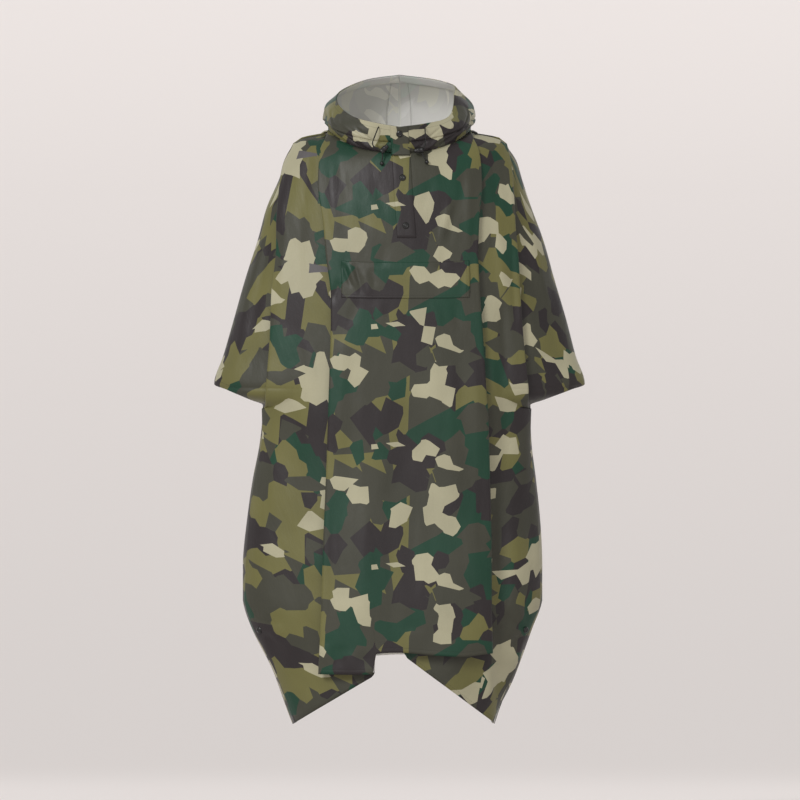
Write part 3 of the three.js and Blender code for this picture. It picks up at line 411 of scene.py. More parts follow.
def under_side(f):
    return f["side"] - 2 * f["r2"]


CENTRE_PATH = (
    [lambda f: (f["zero"], f["centre"])]
    + spans(field("zero"), field("main_root"), field("centre"), 26)
    + spans(field("main_root"), field("main_tip"), field("centre"), 8)
    + turns("main_tip", field("centre"), "r1", 1, 8)
    + spans(field("main_tip"), centre_end, under_centre, 6))
CENTRE_FACE = 1 + 26 + 8  # columns up to the fold's edge
SIDE_ROOT = 4  # the side path's column at the main fold's root
ROOT_TURN = 6  # columns round the fold's root
SIDE_PATH = (
    [lambda f: (laid_seam(f), under_centre(f))]
    + spans(laid_seam, field("main_root"), under_centre, 4)
    + turns("main_root", under_centre, "r1", -1, ROOT_TURN)
    + spans(field("main_root"), field("main_tip"), field("side"), 7)
    + spans(field("main_tip"), field("sleeve_root"), field("side"), 12)
    + spans(field("sleeve_root"), field("sleeve_tip"), field("side"), 5)
    + turns("sleeve_tip", field("side"), "r2", 1, 8)
    + spans(field("sleeve_tip"), field("sleeve_root"), under_side, 4)
    + turns("sleeve_root", under_side, "r2", -1, 6)
    + spans(field("sleeve_root"), field("sleeve_tip"), field("zero"), 4)
    + spans(field("sleeve_tip"), field("end"), field("zero"), 16))


def on_path(path, face, hand, drops):
    """Shares and heights of a path's columns, with a drop for each point."""
    f = folds_at(face, hand, drops)
    pairs = [column({k: v[:, i] for k, v in f.items()}) for i, column in enumerate(path)]
    return np.stack([p[0] for p in pairs], axis=1), np.stack([p[1] for p in pairs], axis=1)


def corner_hem(hand, across):
    inner, inner_drop, tip, tip_drop = CORNER[hand]
    return mix(inner_drop, tip_drop, (np.abs(across) - inner) / (tip - inner))


LAID_RISE = 3.0  # how far the laid layers' hem stays above the hem that covers it


def laid_seam_hem(face, hand, tip, root):
    straight = mix(corner_hem(hand, root), look(CENTRE_HEM, "across", tip, face), SEAM_SHARE)
    covered = look(CENTRE_HEM, "across", mix(root, tip, SEAM_SHARE), face) - LAID_RISE
    return np.minimum(straight, covered)


def centre_hem(face, hand, acrosses):
    size = np.abs(acrosses)
    edge = int(np.argmax(size))
    tip, seam = acrosses[edge], acrosses[-1]
    edge_drop = look(CENTRE_HEM, "across", tip, face)
    seam_drop = laid_seam_hem(face, hand, tip, tip + (seam - tip) / (1 - SEAM_SHARE))
    laid = mix(edge_drop, seam_drop, (size[edge] - size) / (size[edge] - size[-1]))
    laid = np.minimum(laid, look(CENTRE_HEM, "across", acrosses, face))
    return np.where(np.arange(len(size)) <= edge, look(CENTRE_HEM, "across", acrosses, face), laid)


def side_hem(face, hand, acrosses):
    """The laid layer's hem stays covered from its seam to the fold's root, turns down with the root, and
    the corner's hem goes on."""
    seam, root = acrosses[0], acrosses[SIDE_ROOT]
    seam_drop = laid_seam_hem(face, hand, root + (seam - root) / SEAM_SHARE, root)
    covered = look(CENTRE_HEM, "across", acrosses, face) - LAID_RISE
    order = np.arange(len(acrosses))
    laid = np.minimum(mix(seam_drop, covered, order / SIDE_ROOT), corner_hem(hand, acrosses))
    return mix(laid, corner_hem(hand, acrosses), np.clip((order - SIDE_ROOT) / ROOT_TURN, 0, 1))


def hem_drops(path, face, hand, hem_at):
    drops = np.full((1, len(path)), 1000.0)
    for _ in range(5):
        share, _ = on_path(path, face, hand, drops)
        drops = hem_at(base_point(face, hand, share, drops)[0, :, 0])[None]
    return drops[0]


ROW_GAP = 8.0


def row_drops(top, hems):
    """The drop of each point: level rows to HEM_ROWS_START, then rows that fan out to the hem."""
    levels = [d for d in RINGS["drop"] if top <= d <= HEM_ROWS_START]
    rows = [levels[0]]
    for a, b in zip(levels, levels[1:]):
        gap = ROW_GAP if b - a > 12 else 2.5
        count = max(1, round((b - a) / gap))
        rows += [mix(a, b, i / count) for i in range(1, count + 1)]
    level = np.repeat(np.array(rows)[:, None], len(hems), axis=1)
    fan = [mix(HEM_ROWS_START, hems, i / 24) for i in range(1, 25)]
    return np.concatenate([level, np.stack(fan)])


SETTLE = (390.0, 450.0, 590.0, 650.0)  # drops between which the cloth hangs straight past the cuffs


def settle(grid, drops, weight):
    """Evens out the cloth past the cuff's level, where the rings change fast."""
    level = np.arange(0, HEM_ROWS_START, 4.0)
    rows = drops[:, 0] <= HEM_ROWS_START
    at = drops[rows, 0]
    bell = np.exp(-((np.arange(-24, 25) * 4 / 30.0) ** 2))
    bell /= bell.sum()
    fade = smooth((at - SETTLE[0]) / (SETTLE[1] - SETTLE[0])) * smooth((SETTLE[3] - at) / (SETTLE[3] - SETTLE[2]))
    settled = grid.copy()
    settled[rows, :, 2] += at[:, None]
    for k in range(grid.shape[1]):
        for axis in range(3):
            own = settled[rows, k, axis]
            soft = np.convolve(np.pad(np.interp(level, at, own), 24, mode="edge"), bell, mode="valid")
            settled[rows, k, axis] = mix(own, np.interp(at, level, soft), fade * weight[k])
    settled[rows, :, 2] -= at[:, None]
    return settled


def grid_normals(grid, flip):
    across = np.gradient(grid, axis=1)
    down = np.gradient(grid, axis=0)
    normal = np.cross(across, down)
    return flip * normal / np.maximum(np.linalg.norm(normal, axis=-1, keepdims=True), 1e-9)


def lengths(grid, axis):
    """Running length along a grid's rows (axis 1) or columns (axis 0)."""
    step = np.linalg.norm(np.diff(grid, axis=axis), axis=-1)
    pad = [(1, 0), (0, 0)] if axis == 0 else [(0, 0), (1, 0)]
    return np.pad(np.cumsum(step, axis=axis), pad)


def grid_area(grid):
    a, b, c, d = grid[:-1, :-1], grid[1:, :-1], grid[1:, 1:], grid[:-1, 1:]
    one = np.linalg.norm(np.cross(b - a, c - a), axis=-1)
    two = np.linalg.norm(np.cross(c - a, d - a), axis=-1)
    return float((one + two).sum() / 2)


def shell(name, grid, normals, below, above, uv, hem, materials, sheet=None, keep=None):
    """A closed sheet of cloth round a grid, in mm. below and above are numbers or grids. hem holds, for
    each point, how far it is from the nearest sewn edge."""
    rows, columns = grid.shape[:2]
    above = np.broadcast_to(above, (rows, columns))[..., None]
    below = np.broadcast_to(below, (rows, columns))[..., None]
    outer, inner = grid + normals * above, grid + normals * below
    if keep is not None:
        outer, inner = keep(outer), keep(inner)
    points = np.concatenate([outer.reshape(-1, 3), inner.reshape(-1, 3)]) * MM
    index = np.arange(rows * columns).reshape(rows, columns)
    low = index + rows * columns
    a, b, c, d = index[:-1, :-1], index[1:, :-1], index[1:, 1:], index[:-1, 1:]
    e, f, g, h = low[:-1, :-1], low[1:, :-1], low[1:, 1:], low[:-1, 1:]
    quads = [np.stack([a, b, c, d], -1).reshape(-1, 4), np.stack([e, h, g, f], -1).reshape(-1, 4)]
    for top, bottom in ((index[0], low[0]), (index[-1][::-1], low[-1][::-1]),
                        (index[::-1, 0], low[::-1, 0]), (index[:, -1], low[:, -1])):
        quads.append(np.stack([top[:-1], top[1:], bottom[1:], bottom[:-1]], -1))
    faces = np.concatenate(quads)
    # The way round of the faces follows the outer surface's normals.
    first = outer[1, 0] - outer[0, 0]
    second = outer[0, 1] - outer[0, 0]
    if np.dot(np.cross(first, second), normals[0, 0]) < 0:
        faces = faces[:, ::-1]
    mesh = bpy.data.meshes.new(name)
    mesh.from_pydata(points.tolist(), [], faces.tolist())
    count = (rows - 1) * (columns - 1)
    kind = np.zeros(len(faces), dtype=np.int32)
    kind[count:2 * count] = 1
    for material in materials:
        mesh.materials.append(material)
    mesh.polygons.foreach_set("material_index", kind)
    mesh.polygons.foreach_set("use_smooth", np.arange(len(faces)) < 2 * count)
    layer = mesh.uv_layers.new(name="cloth")
    both = np.concatenate([uv.reshape(-1, 2), uv.reshape(-1, 2)]) * MM
    loops = np.empty(len(mesh.loops), dtype=np.int32)
    mesh.loops.foreach_get("vertex_index", loops)
    layer.data.foreach_set("uv", both[loops].astype(np.float32).ravel())
    edge = mesh.attributes.new("hem", "FLOAT", "POINT")
    flat = np.broadcast_to(hem, (rows, columns)).reshape(-1)
    edge.data.foreach_set("value", np.concatenate([flat, flat]).astype(np.float32))
    mesh.update()
    piece = bpy.data.objects.new(name, mesh)
    bpy.context.scene.collection.objects.link(piece)
    if sheet:
        wide = float(lengths(grid, 1)[:, -1].max()) * MM
        long = float(lengths(grid, 0)[-1].max()) * MM
        area = grid_area(grid) * MM * MM
        SIZES[name] = [round(wide, 3), round(long, 3), round(area, 4)]
        DECLARED.append((piece, (wide, long), min(area, wide * long), sheet))
    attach(piece, "root")
    return piece


SIZES = {}
DECLARED = []


# Materials
def nodes_of(name):
    material = bpy.data.materials.new(name)
    material.use_nodes = True
    tree = material.node_tree
    return material, tree, tree.nodes["Principled BSDF"]


def srgb(r, g, b):
    def linear(v):
        v /= 255
        return v / 12.92 if v <= 0.04045 else ((v + 0.055) / 1.055) ** 2.4
    return (linear(r), linear(g), linear(b), 1)


def node(tree, kind, **settings):
    made = tree.nodes.new(kind)
    for key, value in settings.items():
        if key.startswith("in_"):
            made.inputs[int(key[3:])].default_value = value
        else:
            setattr(made, key, value)
    return made


def math_node(tree, operation, a, b=None, c=None):
    made = tree.nodes.new("ShaderNodeMath")
    made.operation = operation
    for i, value in enumerate((a, b, c)):
        if value is None:
            continue
        if isinstance(value, (int, float)):
            made.inputs[i].default_value = value
        else:
            tree.links.new(value, made.inputs[i])
    return made.outputs[0]


def mix_colour(tree, factor, a, b, blend="MIX"):
    made = tree.nodes.new("ShaderNodeMix")
    made.data_type = "RGBA"
    made.blend_type = blend
    for socket, value in ((made.inputs[0], factor), (made.inputs[6], a), (made.inputs[7], b)):
        if isinstance(value, (int, float, tuple)):
            socket.default_value = value
        else:
            tree.links.new(value, socket)
    return made.outputs[2]


BEIGE = (155, 151, 126)
OLIVE = (97, 94, 54)
DRAB = (56, 56, 46)
CHARCOAL = (38, 33, 34)
GREEN = (18, 55, 39)
GREY = (83, 80, 81)
REPEAT = 0.234  # metres down the cloth from one motif to the same one again


def repeated(tree, place, seed):
    """place with its height wrapped to the print's repeat. The cut steps up and down from column to
    column, so that it reads as the edges of the splinters."""
    parts = node(tree, "ShaderNodeSeparateXYZ")
    tree.links.new(place, parts.inputs[0])
    x, y = parts.outputs[0], parts.outputs[1]
    sway = math_node(tree, "MULTIPLY_ADD", math_node(tree, "PINGPONG", y, REPEAT / 2), 0.35, x)
    noise = node(tree, "ShaderNodeTexWhiteNoise", noise_dimensions="1D")
    column = math_node(tree, "FLOOR", math_node(tree, "MULTIPLY_ADD", sway, 22.0, seed * 3.37))
    tree.links.new(column, noise.inputs[1])
    cut = math_node(tree, "MULTIPLY_ADD", noise.outputs["Value"], REPEAT, math_node(tree, "MULTIPLY", x, 0.5))
    turns = math_node(tree, "FLOOR", math_node(tree, "DIVIDE", math_node(tree, "ADD", y, cut), REPEAT))
    joined = node(tree, "ShaderNodeCombineXYZ")
    tree.links.new(math_node(tree, "ADD", x, seed * 7.3), joined.inputs[0])
    tree.links.new(math_node(tree, "MULTIPLY_ADD", turns, -REPEAT, y), joined.inputs[1])
    return joined.outputs[0]


def voronoi(tree, place, size, turn=0.0, stretch=(1.0, 1.0)):
    turned = node(tree, "ShaderNodeMapping")
    turned.inputs["Scale"].default_value = (1 / (size * stretch[0]), 1 / (size * stretch[1]), 1)
    turned.inputs["Rotation"].default_value = (0, 0, turn)
    tree.links.new(place, turned.inputs["Vector"])
    made = node(tree, "ShaderNodeTexVoronoi", voronoi_dimensions="2D", in_2=1.0, in_8=1.0)
    tree.links.new(turned.outputs[0], made.inputs["Vector"])
    return made


def splinters(tree, uv, seed, size, stops, step=None, turn=0.0, stretch=(1.0, 1.0)):
    """One layer of the print: its colour, and where it covers. step is the size of the small cells whose
    edges break up its own."""
    place = uv
    if step:
        fine = voronoi(tree, uv, step, seed * 0.7)
        back = node(tree, "ShaderNodeMapping", vector_type="TEXTURE")
        back.inputs["Scale"].default_value = (1 / step, 1 / step, 1)
        back.inputs["Rotation"].default_value = (0, 0, seed * 0.7)
        tree.links.new(fine.outputs["Position"], back.inputs["Vector"])
        place = back.outputs[0]
    large = voronoi(tree, repeated(tree, place, seed), size, turn, stretch)
    parts = node(tree, "ShaderNodeSeparateColor")
    tree.links.new(large.outputs["Color"], parts.inputs[0])
    ramp = node(tree, "ShaderNodeValToRGB")
    ramp.color_ramp.interpolation = "CONSTANT"
    marks = ramp.color_ramp.elements
    while len(marks) < len(stops):
        marks.new(0.5)
    for mark, (at, colour) in zip(marks, stops):
        mark.position = at
        mark.color = srgb(*colour) if colour else (0, 0, 0, 0)
    tree.links.new(parts.outputs[0], ramp.inputs[0])
    return ramp.outputs["Color"], ramp.outputs["Alpha"]


def camouflage(tree):
    """An angular splinter print: layers of straight-edged cells, the upper ones with stepped edges."""
    uv = node(tree, "ShaderNodeUVMap", uv_map="cloth").outputs[0]
    colour, _ = splinters(tree, uv, 1, 0.075, [(0.0, CHARCOAL), (0.3, DRAB), (0.60, OLIVE), (0.84, GREEN)])
    layers = [
        splinters(tree, uv, 2, 0.060, [
            (0.0, None), (0.45, OLIVE), (0.62, CHARCOAL), (0.78, DRAB), (0.90, GREEN)], step=0.030),
        splinters(tree, uv, 5, 0.062, [
            (0.0, None), (0.82, BEIGE), (0.94, GREEN), (0.97, CHARCOAL)], step=0.026),
        splinters(tree, uv, 9, 0.034, [
            (0.0, None), (0.91, DRAB), (0.94, BEIGE), (0.98, GREY)], turn=0.4, stretch=(1.6, 0.8)),
    ]
    for over, covers in layers:
        colour = mix_colour(tree, covers, colour, over)
    return uv, colour


def cloth_material(name, inside):
    material, tree, shader = nodes_of(name)
    uv, colour = camouflage(tree)
    tone = node(tree, "ShaderNodeTexNoise", in_2=9.0, in_3=2.0)
    tree.links.new(uv, tone.inputs["Vector"])
    shade = node(tree, "ShaderNodeMapRange", in_1=0.3, in_2=0.7, in_3=0.9, in_4=1.08)
    tree.links.new(tone.outputs[0], shade.inputs[0])
    colour = mix_colour(tree, 1.0, colour, shade.outputs[0], "MULTIPLY")
    if inside:
        # The inner face's own pale coating, made paler still as painted light: the extra whitening stands in for
        # light that does not reach into the hood.
        paler_with_painted_light = node(tree, "ShaderNodeGamma", in_1=0.6)
        tree.links.new(colour, paler_with_painted_light.inputs[0])
        colour = mix_colour(tree, 0.62, paler_with_painted_light.outputs[0], srgb(253, 252, 248))
    # Rows of stitches along the sewn edges
    hem = node(tree, "ShaderNodeAttribute", attribute_name="hem")
    split = node(tree, "ShaderNodeSeparateXYZ")
    tree.links.new(uv, split.inputs[0])
    run = math_node(tree, "ADD", split.outputs[0], math_node(tree, "MULTIPLY", split.outputs[1], 0.71))
    beat = math_node(tree, "FRACT", math_node(tree, "MULTIPLY", run, 330.0))
    dash = math_node(tree, "GREATER_THAN", beat, 0.3)
    off = math_node(tree, "ABSOLUTE", math_node(tree, "SUBTRACT", hem.outputs["Fac"], 9.0))
    line = math_node(tree, "LESS_THAN", off, 0.55)
    groove = node(tree, "ShaderNodeMapRange", in_1=0.0, in_2=1.6, in_3=-1.0, in_4=0.0)
    tree.links.new(off, groove.inputs[0])
    stitch = math_node(tree, "MULTIPLY", dash, line)
    colour = mix_colour(tree, math_node(tree, "MULTIPLY", stitch, 0.35), colour,
                        srgb(150, 150, 146) if inside else srgb(34, 34, 28))
    tree.links.new(colour, shader.inputs["Base Color"])
    # Fine weave, small ripples and the stitches' groove
    weave = node(tree, "ShaderNodeTexWave", wave_type="BANDS", bands_direction="X", in_1=420.0, in_2=0.4)
    weft = node(tree, "ShaderNodeTexWave", wave_type="BANDS", bands_direction="Y", in_1=420.0, in_2=0.4)
    tree.links.new(uv, weave.inputs["Vector"])
    tree.links.new(uv, weft.inputs["Vector"])
    cross = math_node(tree, "MULTIPLY", weave.outputs["Fac"], weft.outputs["Fac"])
    stretch = node(tree, "ShaderNodeMapping")
    stretch.inputs["Scale"].default_value = (1.0, 0.35, 1.0)
    stretch.inputs["Rotation"].default_value = (0, 0, 0.12)
    tree.links.new(uv, stretch.inputs["Vector"])
    ripple = node(tree, "ShaderNodeTexNoise", in_2=38.0, in_3=4.0, in_4=0.55)
    tree.links.new(stretch.outputs[0], ripple.inputs["Vector"])
    bumps = None
    for height, strength, distance in (
            (ripple.outputs[0], 0.32, 0.004), (cross, 0.12, 0.0002), (groove.outputs[0], 0.3, 0.0005)):
        bump = node(tree, "ShaderNodeBump")
        bump.inputs["Strength"].default_value = strength
        bump.inputs["Distance"].default_value = distance
        tree.links.new(height, bump.inputs["Height"])
        if bumps:
            tree.links.new(bumps, bump.inputs["Normal"])
        bumps = bump.outputs[0]
    tree.links.new(bumps, shader.inputs["Normal"])
    gloss = node(tree, "ShaderNodeMapRange", in_1=0.3, in_2=0.7, in_3=0.4, in_4=0.56)
    tree.links.new(ripple.outputs[0], gloss.inputs[0])
    tree.links.new(gloss.outputs[0], shader.inputs["Roughness"])
    shader.inputs["Specular IOR Level"].default_value = 0.3
    shader.inputs["Sheen Weight"].default_value = 0.02
    shader.inputs["Sheen Roughness"].default_value = 0.5
    return material


def plastic_material(name, colour, rough, grain=900.0):
    material, tree, shader = nodes_of(name)
    coords = node(tree, "ShaderNodeTexCoord")
    noise = node(tree, "ShaderNodeTexNoise", in_2=grain, in_3=3.0)
    tree.links.new(coords.outputs["Object"], noise.inputs["Vector"])
    dark = tuple(v * 0.75 for v in srgb(*colour)[:3]) + (1,)
    tree.links.new(mix_colour(tree, noise.outputs[0], dark, srgb(*colour)), shader.inputs["Base Color"])
    spread = node(tree, "ShaderNodeMapRange", in_1=0.3, in_2=0.7, in_3=rough - 0.06, in_4=rough + 0.08)
    tree.links.new(noise.outputs[0], spread.inputs[0])
    tree.links.new(spread.outputs[0], shader.inputs["Roughness"])
    bump = node(tree, "ShaderNodeBump")
    bump.inputs["Strength"].default_value = 0.15
    bump.inputs["Distance"].default_value = 0.0002
    tree.links.new(noise.outputs[0], bump.inputs["Height"])
    tree.links.new(bump.outputs[0], shader.inputs["Normal"])
    return material


OUTSIDE = cloth_material("printed_cloth", inside=False)
INSIDE = cloth_material("printed_cloth_inside", inside=True)
SNAP_METAL = plastic_material("snap_black", (14, 14, 12), 0.36)
LOCK_PLASTIC = plastic_material("lock_plastic", (12, 12, 11), 0.44)


def cord_material():
    material, tree, shader = nodes_of("cord_braid")
    coords = node(tree, "ShaderNodeTexCoord")
    braid = node(tree, "ShaderNodeTexWave", wave_type="BANDS", bands_direction="DIAGONAL", in_1=900.0, in_2=1.0)
    tree.links.new(coords.outputs["Object"], braid.inputs["Vector"])
    tree.links.new(mix_colour(tree, braid.outputs["Fac"], srgb(12, 12, 11), srgb(34, 34, 31)),
                   shader.inputs["Base Color"])
    bump = node(tree, "ShaderNodeBump")
    bump.inputs["Strength"].default_value = 0.5
    bump.inputs["Distance"].default_value = 0.0003
    tree.links.new(braid.outputs["Fac"], bump.inputs["Height"])
    tree.links.new(bump.outputs[0], shader.inputs["Normal"])
    shader.inputs["Roughness"].default_value = 0.8
    return material


CORD_BRAID = cord_material()

# Where on the printed cloth each part's middle is cut, in mm
PRINT_AT = {"front": 40, "back": 600, "hood": 500}

# Body panels
neck_rows = {}
CENTRE = {}
SIDE_CLOTH = {}
for face in ("front", "back"):
    sign = -1 if face == "front" else 1

    def own_side(points, sign=sign):
        points = points.copy()
        points[..., 1] = sign * np.maximum(sign * points[..., 1], SEAM / 2)
        return points

    halves, half_drops = {}, {}
    for hand in ("left", "right"):
        hems = hem_drops(CENTRE_PATH, face, hand, lambda x: centre_hem(face, hand, x))
        drops = row_drops(0, hems)
        share, height = on_path(CENTRE_PATH, face, hand, drops)
        halves[hand] = settle(cloth_point(face, hand, share, drops, height), drops, np.ones(len(CENTRE_PATH)))
        half_drops[hand] = drops
        neck_rows[face + hand] = {"share": share[0, :CENTRE_FACE]}
    grid = np.concatenate([halves["left"][:, ::-1], halves["right"][:, 1:]], axis=1)
    drops = np.concatenate([half_drops["left"][:, ::-1], half_drops["right"][:, 1:]], axis=1)
    middle = len(CENTRE_PATH) - 1
    normals = grid_normals(grid, sign)
    if np.dot(normals[60, middle], [0, sign, 0]) < 0:
        normals = -normals
    across = lengths(grid, 1)
    across = across - across[:, middle:middle + 1]
    down = lengths(grid, 0)
    level = np.argmin(np.abs(drops - 900), axis=0)
    down = down - down[level, np.arange(grid.shape[1])][None] + 900
    uv = np.stack([across * sign * -1 + PRINT_AT[face], -down], axis=-1)
    hem = down[-1][None] - down
    CENTRE[face] = {"grid": grid, "uv": uv, "drops": drops, "normals": normals, "middle": middle}
    shell(f"{face}_centre", grid, normals, -SHEET / 2, SHEET / 2, uv, hem, [OUTSIDE, INSIDE],
          sheet=("hung", [f"{face}_left", f"{face}_right"]), keep=own_side)
    for hand in ("left", "right"):
        step = -1 if hand == "left" else 1
        columns = middle + step * np.arange(CENTRE_FACE)
        shares = neck_rows[face + hand]["share"]
        up = base_point(face, hand, shares, np.zeros_like(shares)) - base_point(
            face, hand, shares, np.full_like(shares, NECK_STEP))
        up /= np.linalg.norm(up, axis=-1, keepdims=True)
        neck_rows[face + hand] = {"at": grid[0, columns] + up * NECK_GAP, "out": normals[0, columns]}
        hems = hem_drops(SIDE_PATH, face, hand, lambda x: side_hem(face, hand, x))
        side_drops = row_drops(1.5, hems)
        share, height = on_path(SIDE_PATH, face, hand, side_drops)
        side = settle(cloth_point(face, hand, share, side_drops, height), side_drops,
                      smooth((30 - np.arange(len(SIDE_PATH))) / 9))
        side_normals = grid_normals(side, 1)
        if side_normals[60, 24, 1] * sign < 0:
            side_normals = -side_normals
        along = lengths(side, 1)
        # The print runs on from the centre panel's end.
        start = np.interp(side_drops[:, 0], half_drops[hand][:, -1],
                          np.abs(across[:, 0 if hand == "left" else -1]))
        along = (along + start[:, None]) * step
        fall = lengths(side, 0)
        level = np.argmin(np.abs(side_drops - 900), axis=0)
        fall = fall - fall[level, np.arange(side.shape[1])][None] + 900
        side_uv = np.stack([along * sign * -1 + PRINT_AT[face], -fall], axis=-1)
        hem = fall[-1][None] - fall
        # The cuff runs from the sleeve's outer corner in to the side of the body.
        outer = np.array([step * 361, -486.0])
        inner = np.array([step * (266 if hand == "left" else 255), -526.0])
        way = (inner - outer) / np.linalg.norm(inner - outer)
        flat = side[..., [0, 2]] - outer
        cuff = np.abs(flat[..., 0] * way[1] - flat[..., 1] * way[0])
        run = flat @ way
        near = (run > -8) & (run < np.linalg.norm(inner - outer)) & (side_drops < 500)
        hem = np.where(near, np.minimum(hem, cuff), hem)
        SIDE_CLOTH[f"{face}_{hand}"] = shell(
            f"{face}_{hand}", side, side_normals, -SHEET / 2, SHEET / 2, side_uv, hem, [OUTSIDE, INSIDE],
            sheet=("hung", [f"{face}_centre"]), keep=own_side)


# Hood
def polar_of(points):
    return np.degrees(np.arctan2(np.abs(points[..., 0]), -points[..., 1]))


NECK = {}
for hand in ("left", "right"):
    step = -1 if hand == "left" else 1
    f = folds_at("front", hand, np.zeros((1, 1)))
    ridge = cloth_point("front", hand, np.ones((1, 1)), np.zeros((1, 1)), f["centre"])[0, 0]
    ridge[1] = 0
    out = np.array([0.6 * step, 0, 0.8])
    at = np.concatenate([neck_rows[f"front{hand}"]["at"], [ridge + out * NECK_GAP],
                         neck_rows[f"back{hand}"]["at"][::-1]])
    outs = np.concatenate([neck_rows[f"front{hand}"]["out"], [out], neck_rows[f"back{hand}"]["out"][::-1]])
    angles = polar_of(at)
    order = np.argsort(angles, kind="stable")
    NECK[hand] = (angles[order], at[order], outs[order])


def neck_at(hand, angle):
    angles, at, outs = NECK[hand]
    place = np.stack([np.interp(angle, angles, at[:, i]) for i in range(3)], axis=-1)
    out = np.stack([np.interp(angle, angles, outs[:, i]) for i in range(3)], axis=-1)
    return place, out / np.linalg.norm(out, axis=-1, keepdims=True)


def catmull_rom(knots, share):
    """Centripetal curve through knots (n, points, 3) at share (n,)."""
    last = knots.shape[1] - 1
    p = last * share
    i = np.minimum(np.floor(p).astype(int), last - 1)
    w = (p - i)[:, None]
    rows = np.arange(len(knots))
    p1, p2 = knots[rows, i], knots[rows, i + 1]
    p0 = np.where((i > 0)[:, None], knots[rows, np.maximum(i - 1, 0)], 2 * knots[:, 0] - knots[:, 1])
    p3 = np.where((i < last - 1)[:, None], knots[rows, np.minimum(i + 2, last)],
                  2 * knots[:, last] - knots[:, last - 1])
    d0, d1, d2 = (np.maximum(((b - a) ** 2).sum(-1), 1e-12)[:, None] ** 0.25
                  for a, b in ((p0, p1), (p1, p2), (p2, p3)))
    t1 = ((p1 - p0) / d0 - (p2 - p0) / (d0 + d1) + (p2 - p1) / d1) * d1
    t2 = ((p2 - p1) / d1 - (p3 - p1) / (d1 + d2) + (p3 - p2) / d2) * d1
    return p1 + w * (t1 + w * (-3 * p1 + 3 * p2 - 2 * t1 - t2 + w * (2 * p1 - 2 * p2 + t1 + t2)))


def hood_point(hand, angle, share):
    angle, share = (np.asarray(v, float).ravel() for v in np.broadcast_arrays(angle, share))
    polar = np.radians(angle)
    way = np.stack([np.sin(polar) * (-1 if hand == "left" else 1), -np.cos(polar)], axis=-1)
    seam, _ = neck_at(hand, angle)

    def place(name):
        reach = look(HOOD, "angle", angle, name + "0")
        height = look(HOOD, "angle", angle, name + "1")
        return np.concatenate([way * reach[:, None], height[:, None]], axis=1)

    knots = np.stack([seam, seam + place("rise"), place("low"), place("out"), place("belly"), place(hand)],
                     axis=1)
    return catmull_rom(knots, share)


HOOD_ROWS = 61
STRIP_EDGE = 180 - HOOD_STRIP_HALF


def hood_grid(signed, shares):
    """Points of the hood at signed angles round it, from the neck's seam up."""
    grid = np.stack([hood_point("left" if a < 0 else "right", abs(a), shares) for a in signed], axis=1)
    return grid


def hood_lift(signed, shares):
    around, up = np.meshgrid(np.asarray(signed) * 2.3, np.asarray(shares) * 165.0)
    rows = [(a0 * 2.3, s0 * 165.0, a1 * 2.3, s1 * 165.0, w, d) for a0, s0, a1, s1, w, d in HOOD_CREASES]
    ends = smooth((165.0 - up) / 14) * smooth(up / 16)
    return crease(rows, around, up, HOOD_CREASE_SCALE) * ends


hood_shares = np.linspace(0, 1, HOOD_ROWS)


def hood_piece(name, signed, flip=1):
    signed = np.asarray(signed)
    grid = hood_grid(signed, hood_shares)
    grid = grid + grid_normals(grid, flip) * hood_lift(signed, hood_shares)[..., None]
    normals = grid_normals(grid, flip)
    for k, angle in enumerate(signed):
        normals[0, k] = neck_at("left" if angle < 0 else "right", np.array([abs(angle)]))[1][0]
    up = lengths(grid, 0)
    uv = np.stack([np.broadcast_to(signed * 2.25, up.shape) + PRINT_AT["hood"], up + 40], axis=-1)
    hem = up[-1][None] - up
    return shell(name, grid, normals, -SHEET / 2, SHEET / 2, uv, hem, [OUTSIDE, INSIDE],
                 sheet=("draped", ["front_centre", "back_centre"]))


hood_piece("hood_left", -np.linspace(0.15, STRIP_EDGE, 90)[::-1])
hood_piece("hood_right", np.linspace(0.15, STRIP_EDGE, 90))
# The strip crosses the back, so its angles run past 180.
strip_columns = [-(STRIP_EDGE + 0.04 + i) for i in range(7)] + [STRIP_EDGE + 0.04 + 6 - i for i in range(7)]
hood_piece("hood_strip", strip_columns, flip=-1)


BRIM_WIDTH = 22.0
brim_angles = np.concatenate([-np.linspace(0.15, 179.9, 120)[::-1], np.linspace(0.15, 179.9, 120)])
fine_shares = np.linspace(0.6, 1, 161)
fine = hood_grid(brim_angles, fine_shares)
fine = fine + grid_normals(fine, 1) * hood_lift(brim_angles, fine_shares)[..., None]
below_rim = lengths(fine[::-1], 0)
widths = np.minimum(BRIM_WIDTH, 10 + (np.abs(brim_angles) / 60) ** 2 * 12)
brim = np.stack([np.stack([
    np.interp(widths[k] * (1 - np.linspace(0, 1, 12)), below_rim[:, k], fine[::-1][:, k, axis])
    for axis in range(3)], axis=-1) for k in range(len(brim_angles))], axis=1)
brim_normals = grid_normals(brim, 1)
brim_up = lengths(brim, 0)
brim_uv = np.stack([np.broadcast_to(brim_angles * 2.25, brim_up.shape) + PRINT_AT["hood"], brim_up + 190], axis=-1)
shell("hood_brim", brim, brim_normals, -1.9, -1.1, brim_uv, brim_up + 6, [OUTSIDE, INSIDE],
      sheet=("laid", ["hood_left", "hood_right"]))


# Placket and flap lie on the front, and take its print
def front_uv(x, drop):
    """The print's place on the front panel at x across, on the level row nearest to drop."""
    c = CENTRE["front"]
    rows = c["drops"][:, c["middle"]]
    j = np.clip(np.searchsorted(rows, drop) - 1, 0, len(rows) - 2)
    t = (drop - rows[j]) / (rows[j + 1] - rows[j])
    first, last = c["middle"] - CENTRE_FACE + 1, c["middle"] + CENTRE_FACE
    out = np.zeros(x.shape + (2,))
    for place in np.ndindex(x.shape):
        a, b = ([np.interp(x[place], c["grid"][row, first:last, 0], c["uv"][row, first:last, i])
                 for i in range(2)] for row in (j[place], j[place] + 1))
        out[place] = mix(np.array(a), np.array(b), t[place])
    return out


